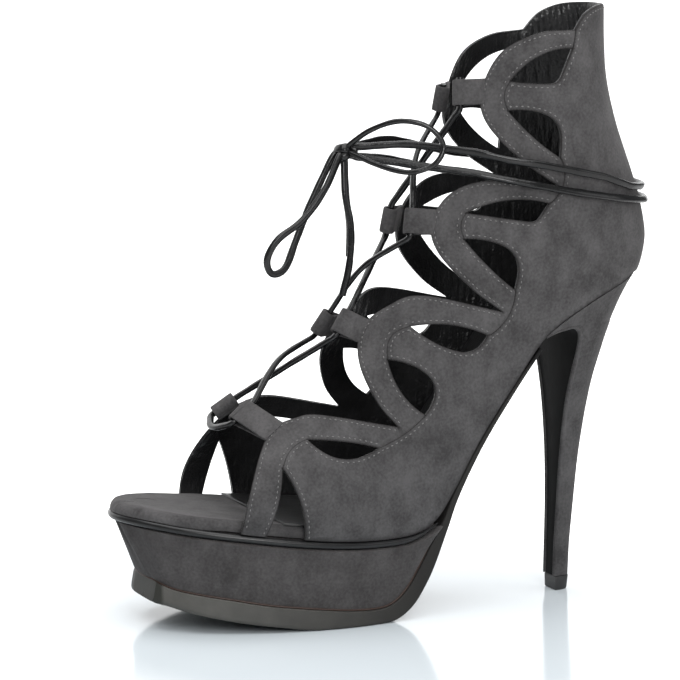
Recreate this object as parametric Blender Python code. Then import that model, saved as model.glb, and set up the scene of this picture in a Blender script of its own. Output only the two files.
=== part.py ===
"""Lace-up platform pump, left shoe: a cage of scalloped suede bands on a platform and a stiletto heel.

Sizes are millimetres, measured back from the toe tip (x), across (y, lateral side negative) and up from
the floor (z). They are placed in metres with the toe at -X, the lateral side at -Y and the floor at z = 0.
"""

from collections import namedtuple
import math

import bmesh
import bpy
from mathutils import Vector
from mathutils.geometry import delaunay_2d_cdt
import numpy as np

MM = 0.001
CENTRE_X = 118.6
GAP = 0.3

# Thicknesses of the suede and of the pieces under it
WALL = 2.2
BAND_STEP = 0.7
FOOTBED_TOE = 4.2
FOOTBED_REAR = 5.0
FOOTBED_TOE_INSET = 0.9
PIPING_RADIUS = 1.5
LACE_RADIUS = 1.4
TIP_HEIGHT = 5.9

# Spacing of the points along the cut edges and inside the panels of the upper
EDGE_STEP = 4.2
PANEL_STEP = 8.0

LATERAL = -1
MEDIAL = 1

# Plan outline at the feather line, where the upper meets the sole
PlanRow = namedtuple("PlanRow", "x lateral medial")
PLAN = [
    PlanRow(1.2, 1.0, 1.0),
    PlanRow(4.8, -11.5, 14.0),
    PlanRow(12.0, -20.8, 24.3),
    PlanRow(25.0, -29.5, 33.5),
    PlanRow(45.0, -36.8, 39.6),
    PlanRow(68.0, -41.0, 42.0),
    PlanRow(90.0, -42.0, 41.0),
    PlanRow(112.0, -38.5, 36.5),
    PlanRow(135.0, -33.8, 30.2),
    PlanRow(160.0, -30.6, 26.6),
    PlanRow(185.0, -29.0, 26.6),
    PlanRow(207.0, -25.6, 24.6),
    PlanRow(222.5, -18.6, 18.6),
    PlanRow(232.6, 0.0, 0.0),
]

# Sections of the last, each from the feather line or the back seam to the front line, with its half widths
# and how far its medial half sits below the lateral one at the front
Rung = namedtuple("Rung", "sole_x sole_z front_x front_z lateral medial drop")
LAST = [
    Rung(30.0, 43.0, 28.0, 70.0, 33.5, 36.0, 0.0),
    Rung(50.0, 40.3, 45.0, 79.0, 40.0, 41.5, 0.0),
    Rung(68.0, 37.9, 56.0, 88.0, 43.0, 43.3, 0.0),
    Rung(90.0, 35.8, 72.0, 100.0, 43.2, 42.0, 0.5),
    Rung(110.0, 35.2, 85.0, 110.5, 40.0, 38.0, 1.0),
    Rung(121.0, 36.6, 94.0, 118.0, 38.0, 35.0, 1.5),
    Rung(130.0, 41.3, 101.0, 126.0, 36.5, 32.5, 2.0),
    Rung(138.0, 52.0, 106.5, 134.0, 35.0, 30.5, 2.0),
    Rung(150.0, 71.5, 111.5, 143.5, 33.5, 29.5, 2.0),
    Rung(165.0, 92.0, 115.5, 151.5, 32.0, 29.0, 2.0),
    Rung(181.0, 112.4, 119.0, 159.0, 31.5, 29.0, 2.0),
    Rung(200.0, 124.0, 121.5, 165.0, 31.5, 29.5, 2.0),
    Rung(216.5, 131.0, 123.5, 169.0, 31.5, 30.0, 2.0),
    Rung(227.0, 134.0, 125.0, 172.0, 31.5, 30.0, 2.0),
    Rung(232.6, 134.8, 126.5, 174.5, 31.5, 30.3, 2.0),
    Rung(236.0, 147.5, 130.0, 180.5, 31.5, 30.5, 2.0),
    Rung(234.8, 158.5, 133.0, 186.5, 31.7, 31.0, 2.2),
    Rung(231.2, 172.0, 137.0, 194.0, 32.0, 31.5, 2.5),
    Rung(226.0, 185.0, 141.0, 201.5, 32.0, 31.2, 3.0),
    Rung(221.4, 198.0, 144.5, 209.5, 31.6, 30.4, 3.7),
    Rung(216.9, 216.6, 148.0, 222.0, 30.8, 28.6, 4.5),
    Rung(215.5, 231.0, 150.0, 234.0, 29.8, 26.6, 5.0),
    Rung(215.4, 248.0, 151.0, 250.0, 28.5, 24.0, 5.0),
]
HEEL_SEAM_ROW = 14
BACK_FULLNESS = 0.85

# Outer edge of the four bands in side view, from the collar down to the toe strap
Scallop = namedtuple("Scallop", "crown shoulder nose chin back valley")
SCALLOPS = {
    4: Scallop((177.0, 237.2), (162.0, 229.8), (154.2, 213.5),
               (155.5, 200.0), (168.0, 185.7), (183.6, 174.9)),
    3: Scallop((156.0, 177.5), (141.0, 172.7), (132.8, 161.0),
               (134.2, 148.8), (147.0, 133.8), (159.8, 124.0)),
    2: Scallop((127.0, 131.9), (113.0, 127.5), (102.8, 118.3),
               (99.6, 105.5), (104.5, 90.3), (112.2, 80.2)),
}
TOE_STRAP_FRONT = [(81.0, 86.8), (69.5, 85.8), (60.4, 81.6), (52.5, 71.3), (46.0, 56.0)]
COLLAR_EDGE = [(207.0, 247.0), (200.0, 244.8), (196.2, 241.6), (193.4, 238.0)]
COLLAR_PEAK_Z = 247.0

# Cut-outs in side view: three corners, the bow of the three sides, and the radius of the rounded rear corner
Window = namedtuple("Window", "tip top low bow_top bow_rear bow_low radius")
UPPER_WINDOWS = {
    4: Window((164.4, 217.7), (191.7, 230.4), (184.5, 216.6), 4.2, 0.0, 0.5, 3.0),
    3: Window((145.9, 164.6), (180.4, 167.5), (174.7, 159.9), 3.3, 0.0, 0.0, 2.5),
    2: Window((120.6, 119.8), (153.3, 114.6), (145.5, 107.9), 2.6, 0.8, 2.2, 4.0),
    1: Window((72.6, 77.8), (102.8, 72.5), (97.0, 70.2), 1.2, 0.3, 4.0, 3.0),
}
LOWER_WINDOWS = {
    4: Window((163.3, 205.8), (185.2, 200.5), (184.9, 186.3), 2.1, 0.3, 1.5, 6.0),
    3: Window((144.6, 154.1), (166.8, 147.0), (165.4, 132.8), 2.1, 0.8, 1.2, 6.0),
    2: Window((110.6, 106.8), (130.0, 96.0), (124.5, 84.2), 2.4, 1.2, 3.2, 5.0),
}

# Gap behind the toe strap, open to the footbed, and the feet of strap and quarter on the feather line
STRAP_GAP_APEX = (60.7, 67.4)
STRAP_GAP_BOWS = (-0.6, -2.1)
STRAP_FOOT_X = (43.3, 53.4)
QUARTER_FOOT_X = 69.0

# Sewn edges where the quarter lies over the bands: bow of each finger tip, and of the seam below each band
FINGER_BOWS = {4: 1.9, 3: 1.7, 2: 3.6, 1: 2.1}
ARM_SEAM_BOWS = {4: 4.0, 3: 3.2, 2: 1.4}

# Feather line in side view ahead of the last's first section
TOE_LINE = [(1.0, 47.2), (10.0, 46.4), (20.0, 44.7), (30.0, 43.0), (40.0, 41.6)]

# Sole, by stations from the toe: feather line, top of the outsole, tread, and the outsole's edges
SoleRow = namedtuple("SoleRow", "feather_x seat_x seat_z tread_x tread_z lateral medial")
PLATFORM_ROWS = [
    SoleRow(1.9, 15.0, 20.4, 13.4, 12.0, -11.5, 10.0),
    SoleRow(4.0, 16.3, 19.5, 14.8, 11.4, -16.2, 16.4),
    SoleRow(9.6, 20.0, 17.9, 19.0, 10.4, -21.0, 22.8),
    SoleRow(20.0, 27.5, 16.3, 26.8, 8.1, -27.5, 29.7),
    SoleRow(36.0, 41.0, 14.0, 41.0, 5.1, -33.8, 36.0),
    SoleRow(54.0, 57.0, 11.1, 57.0, 2.5, -38.0, 39.3),
    SoleRow(74.0, 75.0, 8.8, 76.0, 0.0, -40.3, 40.3),
    SoleRow(92.0, 91.0, 7.0, 92.0, 0.0, -40.2, 38.8),
    SoleRow(106.0, 103.5, 6.6, 104.0, 0.0, -38.2, 36.3),
    SoleRow(114.0, 110.5, 8.7, 112.0, 1.3, -37.0, 34.5),
    SoleRow(120.0, 116.5, 13.9, 119.0, 6.0, -35.8, 33.0),
    SoleRow(125.5, 122.0, 21.9, 124.5, 13.0, -34.6, 31.8),
    SoleRow(129.5, 127.0, 30.3, 129.0, 21.0, -33.8, 30.8),
]
SHANK_ROWS = [
    SoleRow(133.0, 132.8, 40.2, 135.4, 36.4, -33.2, 30.2),
    SoleRow(138.0, 138.3, 51.8, 141.1, 50.2, -32.4, 28.9),
    SoleRow(150.0, 150.3, 71.3, 152.4, 70.0, -30.8, 26.6),
    SoleRow(165.0, 165.3, 91.8, 166.9, 90.6, -29.3, 25.5),
    SoleRow(177.5, 177.8, 107.8, 179.2, 106.7, -28.3, 25.5),
]
FLANGE = 1.6
TOE_UNDERCUT = 3.0
TREAD_ROUND = 1.5

# Heel by height: breast, back and half width
HeelRow = namedtuple("HeelRow", "z breast back half_width")
HEEL = [
    HeelRow(TIP_HEIGHT + GAP, 196.7, 204.2, 5.2),
    HeelRow(20.0, 197.0, 204.9, 5.4),
    HeelRow(37.0, 197.6, 206.4, 6.2),
    HeelRow(55.0, 198.0, 208.1, 7.6),
    HeelRow(70.0, 198.2, 210.1, 9.8),
    HeelRow(82.0, 198.4, 212.0, 12.6),
    HeelRow(91.0, 198.6, 213.6, 15.8),
    HeelRow(98.0, 198.8, 215.2, 18.8),
    HeelRow(104.0, 199.2, 216.8, 21.0),
    HeelRow(109.5, 199.3, 218.6, 22.6),
    HeelRow(112.3, 197.6, 219.8, 23.6),
]
HEEL_LIP_X = 183.5
HEEL_SIDES = 11
HEEL_SEAT_SINK = 0.6
BREAST_COVER = 1.0
BREAST_LIP = 1.3
BREAST_TOP_Z = 106.0

# Lace loops: where the free end of each one lies, and the tab's sizes
LoopRow = namedtuple("LoopRow", "lateral medial")
LOOP_ENDS = {
    1: LoopRow((52.8, -7.5, 86.6), (52.6, 7.5, 86.4)),
    2: LoopRow((96.5, -6.5, 121.0), (94.0, 6.5, 118.5)),
    3: LoopRow((125.0, -9.5, 160.5), (124.5, 9.5, 158.5)),
    4: LoopRow((147.0, -8.5, 212.0), (148.0, 8.0, 208.0)),
}
LOOP_WIDTH = 10.5
LOOP_CLEAR = 0.8
LOOP_SKIN = 1.2
LACE_PLAY = 0.5
LOOP_SIDES = 12
CROSSING_LIFT = 4.4

# Lace: turns round the ankle in side view, then the knot, bow and ends as routes of points
WRAP_UPPER = [(150.8, 188.8), (163.6, 185.9), (176.0, 183.9), (189.0, 181.1), (204.0, 177.7), (218.5, 172.4)]
WRAP_LOWER = [(150.0, 180.6), (163.5, 177.7), (176.0, 175.2), (189.0, 172.5), (204.0, 169.7), (220.5, 166.9)]
WRAP_OFFSET = 2.1
WRAP_STEP = 6.0
KNOT_CENTRE = (102.0, -2.0, 189.0)
KNOT_RADII = (4.4, 4.2, 3.8)
KNOT_CLEAR = 5.0
WRAP_FRONT_UPPER = (127.0, 12.5, 192.0)
WRAP_FRONT_LOWER = (126.5, 14.5, 184.0)
BOW_FRONT = [
    (98.2, -5.0, 187.0),
    (90.5, -8.5, 174.5),
    (80.5, -10.0, 163.0),
    (69.5, -10.5, 155.5),
    (65.0, -10.0, 147.5),
    (67.5, -9.0, 141.5),
    (74.0, -7.0, 143.5),
    (80.0, -4.0, 154.5),
    (87.5, -1.5, 169.0),
    (97.2, -0.8, 187.0),
]
BOW_SIDE = [
    (103.0, -5.6, 192.4),
    (108.5, -13.0, 198.5),
    (118.0, -20.0, 202.5),
    (128.5, -25.0, 200.5),
    (134.5, -27.5, 193.0),
    (131.0, -27.5, 185.5),
    (122.0, -24.0, 182.0),
    (112.5, -16.0, 184.0),
    (103.8, -6.7, 188.5),
]
END_LONG = [
    (101.1, -3.6, 184.9),
    (100.4, -6.4, 172.0),
    (102.4, -7.6, 158.0),
    (101.4, -8.4, 144.0),
    (98.2, -8.6, 131.0),
]
END_SHORT = [
    (102.6, -0.2, 184.9),
    (103.6, 0.6, 172.0),
    (104.6, -0.6, 158.0),
    (104.0, -1.4, 146.0),
]

# Colours of the materials
SUEDE = ("suede", (0.090, 0.084, 0.084), 0.95)
PLATFORM_SUEDE = ("platform_suede", (0.072, 0.065, 0.064), 0.95)
BLACK_LEATHER = ("black_leather", (0.012, 0.012, 0.013), 0.45)
OUTSOLE_LEATHER = ("outsole_leather", (0.045, 0.042, 0.038), 0.55)
LACE_LEATHER = ("lace_leather", (0.016, 0.015, 0.015), 0.5)
TIP_RUBBER = ("tip_rubber", (0.020, 0.020, 0.021), 0.6)


def world(point):
    """Place a point of the shoe, in millimetres, in the world frame in metres."""
    x, y, z = (float(value) for value in point)
    return Vector(((x - CENTRE_X) * MM, y * MM, z * MM))


def unit(vector):
    """Return a vector at length one."""
    vector = np.asarray(vector, float)
    return vector / np.linalg.norm(vector)


def along(rows, position):
    """Read the columns of a table at row positions, on a smooth curve through its rows."""
    table = np.asarray(rows, float)
    position = np.clip(np.asarray(position, float), 0, len(table) - 1)
    row = np.minimum(position.astype(int), len(table) - 2)
    f = (position - row)[..., None]
    padded = np.vstack([2 * table[0] - table[1], table, 2 * table[-1] - table[-2]])
    p0, p1, p2, p3 = padded[row], padded[row + 1], padded[row + 2], padded[row + 3]
    return p1 + 0.5 * f * (p2 - p0 + f * (2 * p0 - 5 * p1 + 4 * p2 - p3 + f * (3 * (p1 - p2) + p3 - p0)))


def evenly(points, step):
    """Resample a line of points at even lengths of about one step, keeping both its ends."""
    points = np.asarray(points, float)
    length = np.concatenate([[0], np.cumsum(np.linalg.norm(np.diff(points, axis=0), axis=1))])
    count = max(2, int(round(length[-1] / step)) + 1)
    places = np.linspace(0, length[-1], count)
    return np.stack([np.interp(places, length, column) for column in points.T], axis=1)


def smooth_route(points, step):
    """Return even points on a smooth curve through the points of a route."""
    dense = along(points, np.linspace(0, len(points) - 1, 16 * len(points)))
    return evenly(dense, step)


def plan_sides():
    """Return the lateral and medial halves of the plan outline as dense lines sorted by x."""
    lateral = [(row.x, row.lateral) for row in PLAN]
    medial = [(row.x, row.medial) for row in PLAN]
    loop = [medial[1]] + lateral + medial[-2:0:-1] + lateral[:2]
    dense = along(loop, np.linspace(1, len(loop) - 2, 40 * len(loop)))
    turn = int(np.argmax(dense[:, 0]))
    start = int(np.argmin(dense[:turn, 0]))
    halves = dense[start:turn + 1], np.vstack([dense[turn:], dense[:start + 1]])
    return {side: half[np.argsort(half[:, 0])] for side, half in zip((LATERAL, MEDIAL), halves)}


PLAN_SIDES = plan_sides()


def edge_y(x, side):
    """Return y of the feather line at x on one side."""
    half = PLAN_SIDES[side]
    return np.interp(x, half[:, 0], half[:, 1])


def rung_at(row):
    """Return both ends of the last's section at a row position, in side view."""
    values = along(LAST, row)
    return values[..., 0:2], values[..., 2:4]


def section_start(side, row):
    """Return the widest half width of a section, and the angle on its oval where the section starts."""
    row = np.asarray(row, float)
    values = along(LAST, row)
    width = values[..., 4] if side == LATERAL else values[..., 5]
    foot = np.where(row < HEEL_SEAM_ROW, np.abs(edge_y(values[..., 0], side)), 0.0)
    return width, np.arcsin(np.clip(foot / width, 0, 1) ** (1 / BACK_FULLNESS))


def last_points(side, row, girth):
    """Return points of the last; girth runs from 0 at the sole or back seam to 1 at the front line."""
    sole, front = rung_at(row)
    width, start = section_start(side, row)
    angle = start + (math.pi - start) * girth
    share = (np.cos(start) - np.cos(angle)) / (np.cos(start) + 1)
    flat = sole + (front - sole) * share[..., None]
    oval = np.where(angle < math.pi / 2, np.sin(angle) ** BACK_FULLNESS, np.sin(angle))
    drop = along(LAST, row)[..., 6] * share * (2 - share) if side == MEDIAL else 0.0
    return np.stack([flat[..., 0], side * width * oval, flat[..., 1] - drop], axis=-1)


def last_normals(side, row, girth, reach=0.004):
    """Return the outward normals of the last."""
    row = np.asarray(row, float)
    girth = np.asarray(girth, float)
    ahead = last_points(side, row, np.minimum(girth + reach, 1))
    across = ahead - last_points(side, row, np.maximum(girth - reach, 0))
    up = last_points(side, row + reach, girth) - last_points(side, row - reach, girth)
    normal = np.cross(up, across)
    sole, front = rung_at(row)
    middle = (sole + front) / 2
    outward = last_points(side, row, girth) - np.stack([middle[:, 0], 0 * girth, middle[:, 1]], axis=-1)
    normal *= np.sign(np.sum(normal * outward, axis=1))[:, None]
    normal[(girth <= 0) & (row >= HEEL_SEAM_ROW), 1] = 0
    normal[(girth <= 0) & (row <= HEEL_SEAM_ROW), 2] = 0
    return normal / np.linalg.norm(normal, axis=1)[:, None]


def locate(points, side=LATERAL):
    """Return row and girth positions of points given in side view."""
    points = np.asarray(points, float)
    low = np.zeros(len(points))
    high = np.full(len(points), len(LAST) - 1.0)

    def beside(row):
        sole, front = rung_at(row)
        line = front - sole
        offset = points - sole
        return line[:, 0] * offset[:, 1] - line[:, 1] * offset[:, 0]

    sign = np.sign(beside(low))
    for _ in range(40):
        middle = (low + high) / 2
        before = np.sign(beside(middle)) == sign
        low = np.where(before, middle, low)
        high = np.where(before, high, middle)
    sole, front = rung_at(low)
    line = front - sole
    share = np.sum((points - sole) * line, axis=1) / np.sum(line * line, axis=1)
    _, start = section_start(side, low)
    angle = np.arccos(np.clip(np.cos(start) - share * (np.cos(start) + 1), -1, 1))
    return np.stack([low, np.clip((angle - start) / (math.pi - start), 0, 1)], axis=1)


def feather_row(x):
    """Return the row position where the feather line of the last reaches x."""
    rows = np.linspace(0, HEEL_SEAM_ROW, 1500)
    return float(np.interp(x, rung_at(rows)[0][:, 0], rows))


def unrolled(places, side=LATERAL, samples=25):
    """Lay points of the last out flat, with true lengths along its sections."""
    row, girth = places[:, 0], places[:, 1]
    sole, front = rung_at(row)
    _, start = section_start(side, row)
    widest = (math.pi / 2 - start) / (math.pi - start)

    def arc(end):
        steps = [last_points(side, row, end * i / samples) for i in range(samples + 1)]
        return np.sum([np.linalg.norm(b - a, axis=1) for a, b in zip(steps, steps[1:])], axis=0)

    chord = np.linalg.norm(front - sole, axis=1)
    middle = chord * np.cos(start) / (np.cos(start) + 1)
    reach = middle + arc(girth) - arc(widest)
    return sole + (front - sole) / chord[:, None] * reach[:, None]


def bowed(start, end, bow, step=0.5):
    """Return points from start to end on a line that bows to its left."""
    start, end = np.asarray(start, float), np.asarray(end, float)
    line = end - start
    left = unit([-line[1], line[0]])
    count = max(3, int(np.linalg.norm(line) / step))
    f = np.linspace(0, 1, count)[:, None]
    return start + line * f + left * bow * 4 * f * (1 - f)


def window_outline(window, rounded_top):
    """Return the closed outline of a cut-out, with one rear corner rounded."""
    top = bowed(window.tip, window.top, window.bow_top)
    rear = bowed(window.top, window.low, window.bow_rear)
    low = bowed(window.low, window.tip, window.bow_low)
    before, after, corner = (top, rear, window.top) if rounded_top else (rear, low, window.low)
    keep_before = np.linalg.norm(before - corner, axis=1) > window.radius
    keep_after = np.linalg.norm(after - corner, axis=1) > window.radius
    a, b = before[keep_before][-1], after[keep_after][0]
    f = np.linspace(0, 1, 9)[:, None]
    bend = a * (1 - f) ** 2 + 2 * np.asarray(corner) * f * (1 - f) + b * f ** 2
    smooth = np.vstack([before[keep_before], bend, after[keep_after]])
    sides = [smooth, low] if rounded_top else [top, smooth]
    return [evenly(side, EDGE_STEP) for side in sides]


def inside(points, outline):
    """Tell which points lie inside a closed flat outline."""
    x, y = points[:, 0:1], points[:, 1:2]
    a, b = outline, np.roll(outline, -1, axis=0)
    crosses = (a[:, 1] > y) != (b[:, 1] > y)
    rise = np.where(b[:, 1] == a[:, 1], 1.0, b[:, 1] - a[:, 1])
    at = a[:, 0] + (y - a[:, 1]) / rise * (b[:, 0] - a[:, 0])
    return np.sum(crosses & (x < at), axis=1) % 2 == 1


class Net:
    """Points and lines of the cage's flat pattern, as row and girth positions of the last."""

    def __init__(self):
        self.places = []
        self.lines = []
        self.index = {}

    def add(self, place):
        key = (round(float(place[0]), 4), round(float(place[1]), 4))
        if key not in self.index:
            self.index[key] = len(self.places)
            self.places.append(key)
        return self.index[key]

    def chain(self, places):
        numbers = [self.add(place) for place in places]
        self.lines += [(a, b) for a, b in zip(numbers, numbers[1:]) if a != b]
        return numbers

    def flat(self):
        return unrolled(np.asarray(self.places, float))


def along_feather(start, end, step=EDGE_STEP):
    """Return places on the feather line or back seam between two row positions."""
    rows = np.linspace(start, end, 400)
    points = last_points(LATERAL, rows, 0 * rows)
    length = np.concatenate([[0], np.cumsum(np.linalg.norm(np.diff(points, axis=0), axis=1))])
    count = max(2, int(round(length[-1] / step)) + 1)
    even = np.interp(np.linspace(0, length[-1], count), length, rows)
    return np.stack([even, 0 * even], axis=1)


def outer_edge(net):
    """Draw the outer edge of one side of the cage and return its outline as point numbers."""
    strap_front, strap_rear = (feather_row(x) for x in STRAP_FOOT_X)
    quarter_front = feather_row(QUARTER_FOOT_X)
    back_rows = np.linspace(HEEL_SEAM_ROW, len(LAST) - 1, 800)
    peak = float(np.interp(COLLAR_PEAK_Z, rung_at(back_rows)[0][:, 1], back_rows))
    feet = {row: rung_at(np.asarray(row))[0] for row in (strap_rear, quarter_front)}
    gap_front = bowed(feet[strap_rear], STRAP_GAP_APEX, STRAP_GAP_BOWS[0])
    gap_rear = bowed(STRAP_GAP_APEX, feet[quarter_front], -STRAP_GAP_BOWS[1])

    outline = net.chain(along_feather(strap_front, strap_rear))
    outline += net.chain([(strap_rear, 0.0), *locate(evenly(gap_front, EDGE_STEP))[1:]])
    outline += net.chain([*locate(evenly(gap_rear, EDGE_STEP))[:-1], (quarter_front, 0.0)])
    outline += net.chain(along_feather(quarter_front, HEEL_SEAM_ROW))
    outline += net.chain(along_feather(HEEL_SEAM_ROW, peak))
    peak_point = rung_at(np.asarray(peak))[0]
    collar = smooth_route([tuple(peak_point)] + COLLAR_EDGE, EDGE_STEP)
    outline += net.chain([(peak, 0.0), *locate(collar)[1:]])
    start = COLLAR_EDGE[-1]
    for number in (4, 3, 2):
        edge = smooth_route([start, *SCALLOPS[number]], EDGE_STEP)
        outline += net.chain(locate(edge))
        start = SCALLOPS[number].valley
    foot = tuple(rung_at(np.asarray(strap_front))[0])
    strap = smooth_route([start, *TOE_STRAP_FRONT, foot], EDGE_STEP)
    outline += net.chain([*locate(strap)[:-1], (strap_front, 0.0)])
    return outline


def cut_outs(net):
    """Draw the closed cut-outs and return their outlines as point numbers."""
    outlines = []
    for windows, rounded_top in ((UPPER_WINDOWS, False), (LOWER_WINDOWS, True)):
        for window in windows.values():
            sides = window_outline(window, rounded_top)
            outlines.append([number for side in sides for number in net.chain(locate(side))])
    return outlines


def sewn_edges(net):
    """Draw the edges of the quarter that lie over the bands, and return them as pairs of points."""
    start = len(net.lines)
    net.chain(locate([COLLAR_EDGE[-1], UPPER_WINDOWS[4].top]))
    for number, bow in FINGER_BOWS.items():
        end = LOWER_WINDOWS[number].tip if number in LOWER_WINDOWS else STRAP_GAP_APEX
        finger = bowed(UPPER_WINDOWS[number].tip, end, -bow)
        net.chain(locate(evenly(finger, EDGE_STEP)))
    for number, bow in ARM_SEAM_BOWS.items():
        seam = bowed(LOWER_WINDOWS[number].low, UPPER_WINDOWS[number - 1].top, bow)
        net.chain(locate(evenly(seam, EDGE_STEP)))
    return {frozenset(line) for line in net.lines[start:]}


def panel_points(net, outline, holes):
    """Add points inside the panels, clear of every edge and of each other."""
    rows = np.arange(0, len(LAST) - 1, 0.2)
    girths = np.arange(0.02, 0.98, 0.02)
    candidates = np.array([(row, girth) for row in rows for girth in girths])
    flat = unrolled(candidates)
    fixed = net.flat()
    keep = inside(flat, fixed[outline])
    for hole in holes:
        keep &= ~inside(flat, fixed[hole])
    taken = list(fixed)
    for place, point in zip(candidates[keep], flat[keep]):
        distance = np.linalg.norm(np.asarray(taken) - point, axis=1)
        if distance[:len(fixed)].min() > 0.62 * PANEL_STEP and distance.min() > PANEL_STEP * 0.9:
            net.add(place)
            taken.append(point)


def cage_pattern():
    """Return the flat pattern of one side: places, triangles, their panel, and the sewn edges."""
    net = Net()
    outline = outer_edge(net)
    holes = cut_outs(net)
    sewn = sewn_edges(net)
    panel_points(net, outline, holes)
    flat = net.flat()
    result = delaunay_2d_cdt([Vector(point) for point in flat], net.lines, [], 0, 1e-7)
    origin = [numbers[0] for numbers in result[3]]
    triangles = np.array([[origin[i] for i in face] for face in result[2]])
    centres = flat[triangles].mean(axis=1)
    keep = inside(centres, flat[outline])
    for hole in holes:
        keep &= ~inside(centres, flat[hole])
    triangles = triangles[keep]
    places = np.asarray(net.places)
    return places, triangles, quarter_triangles(places, triangles, sewn), sewn


def quarter_triangles(places, triangles, sewn):
    """Return the numbers of the triangles joined to the back seam without crossing a sewn edge."""
    owners = {}
    for number, triangle in enumerate(triangles):
        for a, b in zip(triangle, np.roll(triangle, -1)):
            owners.setdefault(frozenset((a, b)), []).append(number)
    on_seam = (places[:, 1] <= 0) & (places[:, 0] > HEEL_SEAM_ROW)
    reached = {number for number, triangle in enumerate(triangles) if on_seam[triangle].any()}
    queue = list(reached)
    while queue:
        triangle = triangles[queue.pop()]
        for a, b in zip(triangle, np.roll(triangle, -1)):
            edge = frozenset((a, b))
            if edge in sewn:
                continue
            for other in owners[edge]:
                if other not in reached:
                    reached.add(other)
                    queue.append(other)
    return reached


def material(finish):
    """Return the material of a finish, made once."""
    name, colour, roughness = finish
    found = bpy.data.materials.get(name)
    if found:
        return found
    made = bpy.data.materials.new(name)
    made.use_nodes = True
    shader = made.node_tree.nodes["Principled BSDF"]
    shader.inputs["Base Color"].default_value = (*colour, 1.0)
    shader.inputs["Roughness"].default_value = roughness
    shader.inputs["Metallic"].default_value = 0.0
    return made


def add_object(name, bm, finish, smooth_angle=35):
    """Turn a closed bmesh into a named object with its material."""
    bmesh.ops.recalc_face_normals(bm, faces=bm.faces)
    mesh = bpy.data.meshes.new(name)
    bm.to_mesh(mesh)
    bm.free()
    mesh.shade_smooth()
    mesh.set_sharp_from_angle(angle=math.radians(smooth_angle))
    mesh.materials.append(material(finish))
    made = bpy.data.objects.new(name, mesh)
    bpy.context.scene.collection.objects.link(made)
    return made


def loft(name, rings, finish, strip_caps=False):
    """Bridge rings of points into one closed body, its ends capped whole or in strips across."""
    bm = bmesh.new()
    loops = [[bm.verts.new(world(point)) for point in ring] for ring in rings]
    count = len(loops[0])
    for a, b in zip(loops, loops[1:]):
        for i in range(count):
            j = (i + 1) % count
            bm.faces.new((a[i], a[j], b[j], b[i]))
    for ring in (loops[0], loops[-1]):
        if strip_caps:
            for i in range(count // 2 - 1):
                bm.faces.new((ring[i], ring[i + 1], ring[count - 2 - i], ring[count - 1 - i]))
        else:
            bm.faces.new(ring)
    return add_object(name, bm, finish)


def build_upper():
    """Make the cage: both sides joined along the back seam, with the quarter a step above the bands."""
    places, triangles, quarter, sewn = cage_pattern()
    bm = bmesh.new()
    made = {}
    joined = (places[:, 1] <= 0) & (places[:, 0] >= HEEL_SEAM_ROW)
    skins = {}
    for side in (LATERAL, MEDIAL):
        points = last_points(side, places[:, 0], places[:, 1])
        normals = last_normals(side, places[:, 0], places[:, 1])
        skins[side] = {layer: points - normals * depth
                       for layer, depth in (("quarter", 0.0), ("band", BAND_STEP), ("inner", WALL))}

    def vertex(side, layer, number):
        key = (0 if joined[number] else side, layer, number)
        if key not in made:
            made[key] = bm.verts.new(world(skins[side][layer][number]))
        return made[key]

    owners = {}
    for number, triangle in enumerate(triangles):
        for a, b in zip(triangle, np.roll(triangle, -1)):
            owners.setdefault(frozenset((a, b)), []).append((number, int(a), int(b)))
    edges = [edge for edge, owner in owners.items() if len(owner) == 1 and not all(joined[list(edge)])]
    rim = {number for edge in edges for number in edge}
    seam_ends = {number for edge in sewn for number in edge} & rim

    for side in (LATERAL, MEDIAL):
        for number, triangle in enumerate(triangles):
            layer = "quarter" if number in quarter else "band"
            bm.faces.new([vertex(side, layer, i) for i in triangle])
            bm.faces.new([vertex(side, "inner", i) for i in triangle[::-1]])
        for edge in edges:
            number, a, b = owners[edge][0]
            layer = "quarter" if number in quarter else "band"
            wall = [vertex(side, "inner", a), vertex(side, "inner", b)]
            for i in (b, a):
                wall.append(vertex(side, layer, i))
                if layer == "quarter" and i in seam_ends:
                    step = vertex(side, "band", i)
                    wall.insert(len(wall) - 1 if i == b else len(wall), step)
            bm.faces.new(wall)
        for edge in sewn:
            pair = owners.get(edge, [])
            if len(pair) == 2:
                a, b = sorted(edge)
                bm.faces.new([vertex(side, "band", a), vertex(side, "band", b),
                              vertex(side, "quarter", b), vertex(side, "quarter", a)])
    bmesh.ops.triangulate(bm, faces=[face for face in bm.faces if len(face.verts) > 3])
    return add_object("upper", bm, SUEDE)


def sole_stations(rows, step):
    """Return the sole's stations on smooth curves through its rows."""
    values = along(rows, np.arange(0, len(rows) - 1 + 1e-6, step))
    values[:, 4] = np.maximum(values[:, 4], 0.0)
    return [SoleRow(*row) for row in values]


def feather_line(step):
    """Return points of the feather line in side view from toe to heel, and its upward normals."""
    toe = along(TOE_LINE, np.linspace(0, 3, 60))
    points = evenly(np.vstack([toe, rung_at(np.linspace(0, HEEL_SEAM_ROW, 600))[0][1:]]), step)
    slope = np.gradient(points, axis=0)
    normals = np.stack([-slope[:, 1], slope[:, 0]], axis=1)
    return points, normals / np.linalg.norm(normals, axis=1)[:, None]


def plan_inward(x, side):
    """Return the inward direction of the plan outline at x on one side."""
    half = PLAN_SIDES[side]
    slope = np.gradient(half, axis=0)
    turn = np.stack([slope[:, 1], -slope[:, 0]], axis=1) * side
    turn /= np.maximum(np.linalg.norm(turn, axis=1), 1e-9)[:, None]
    return unit([np.interp(x, half[:, 0], column) for column in turn.T])


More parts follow.
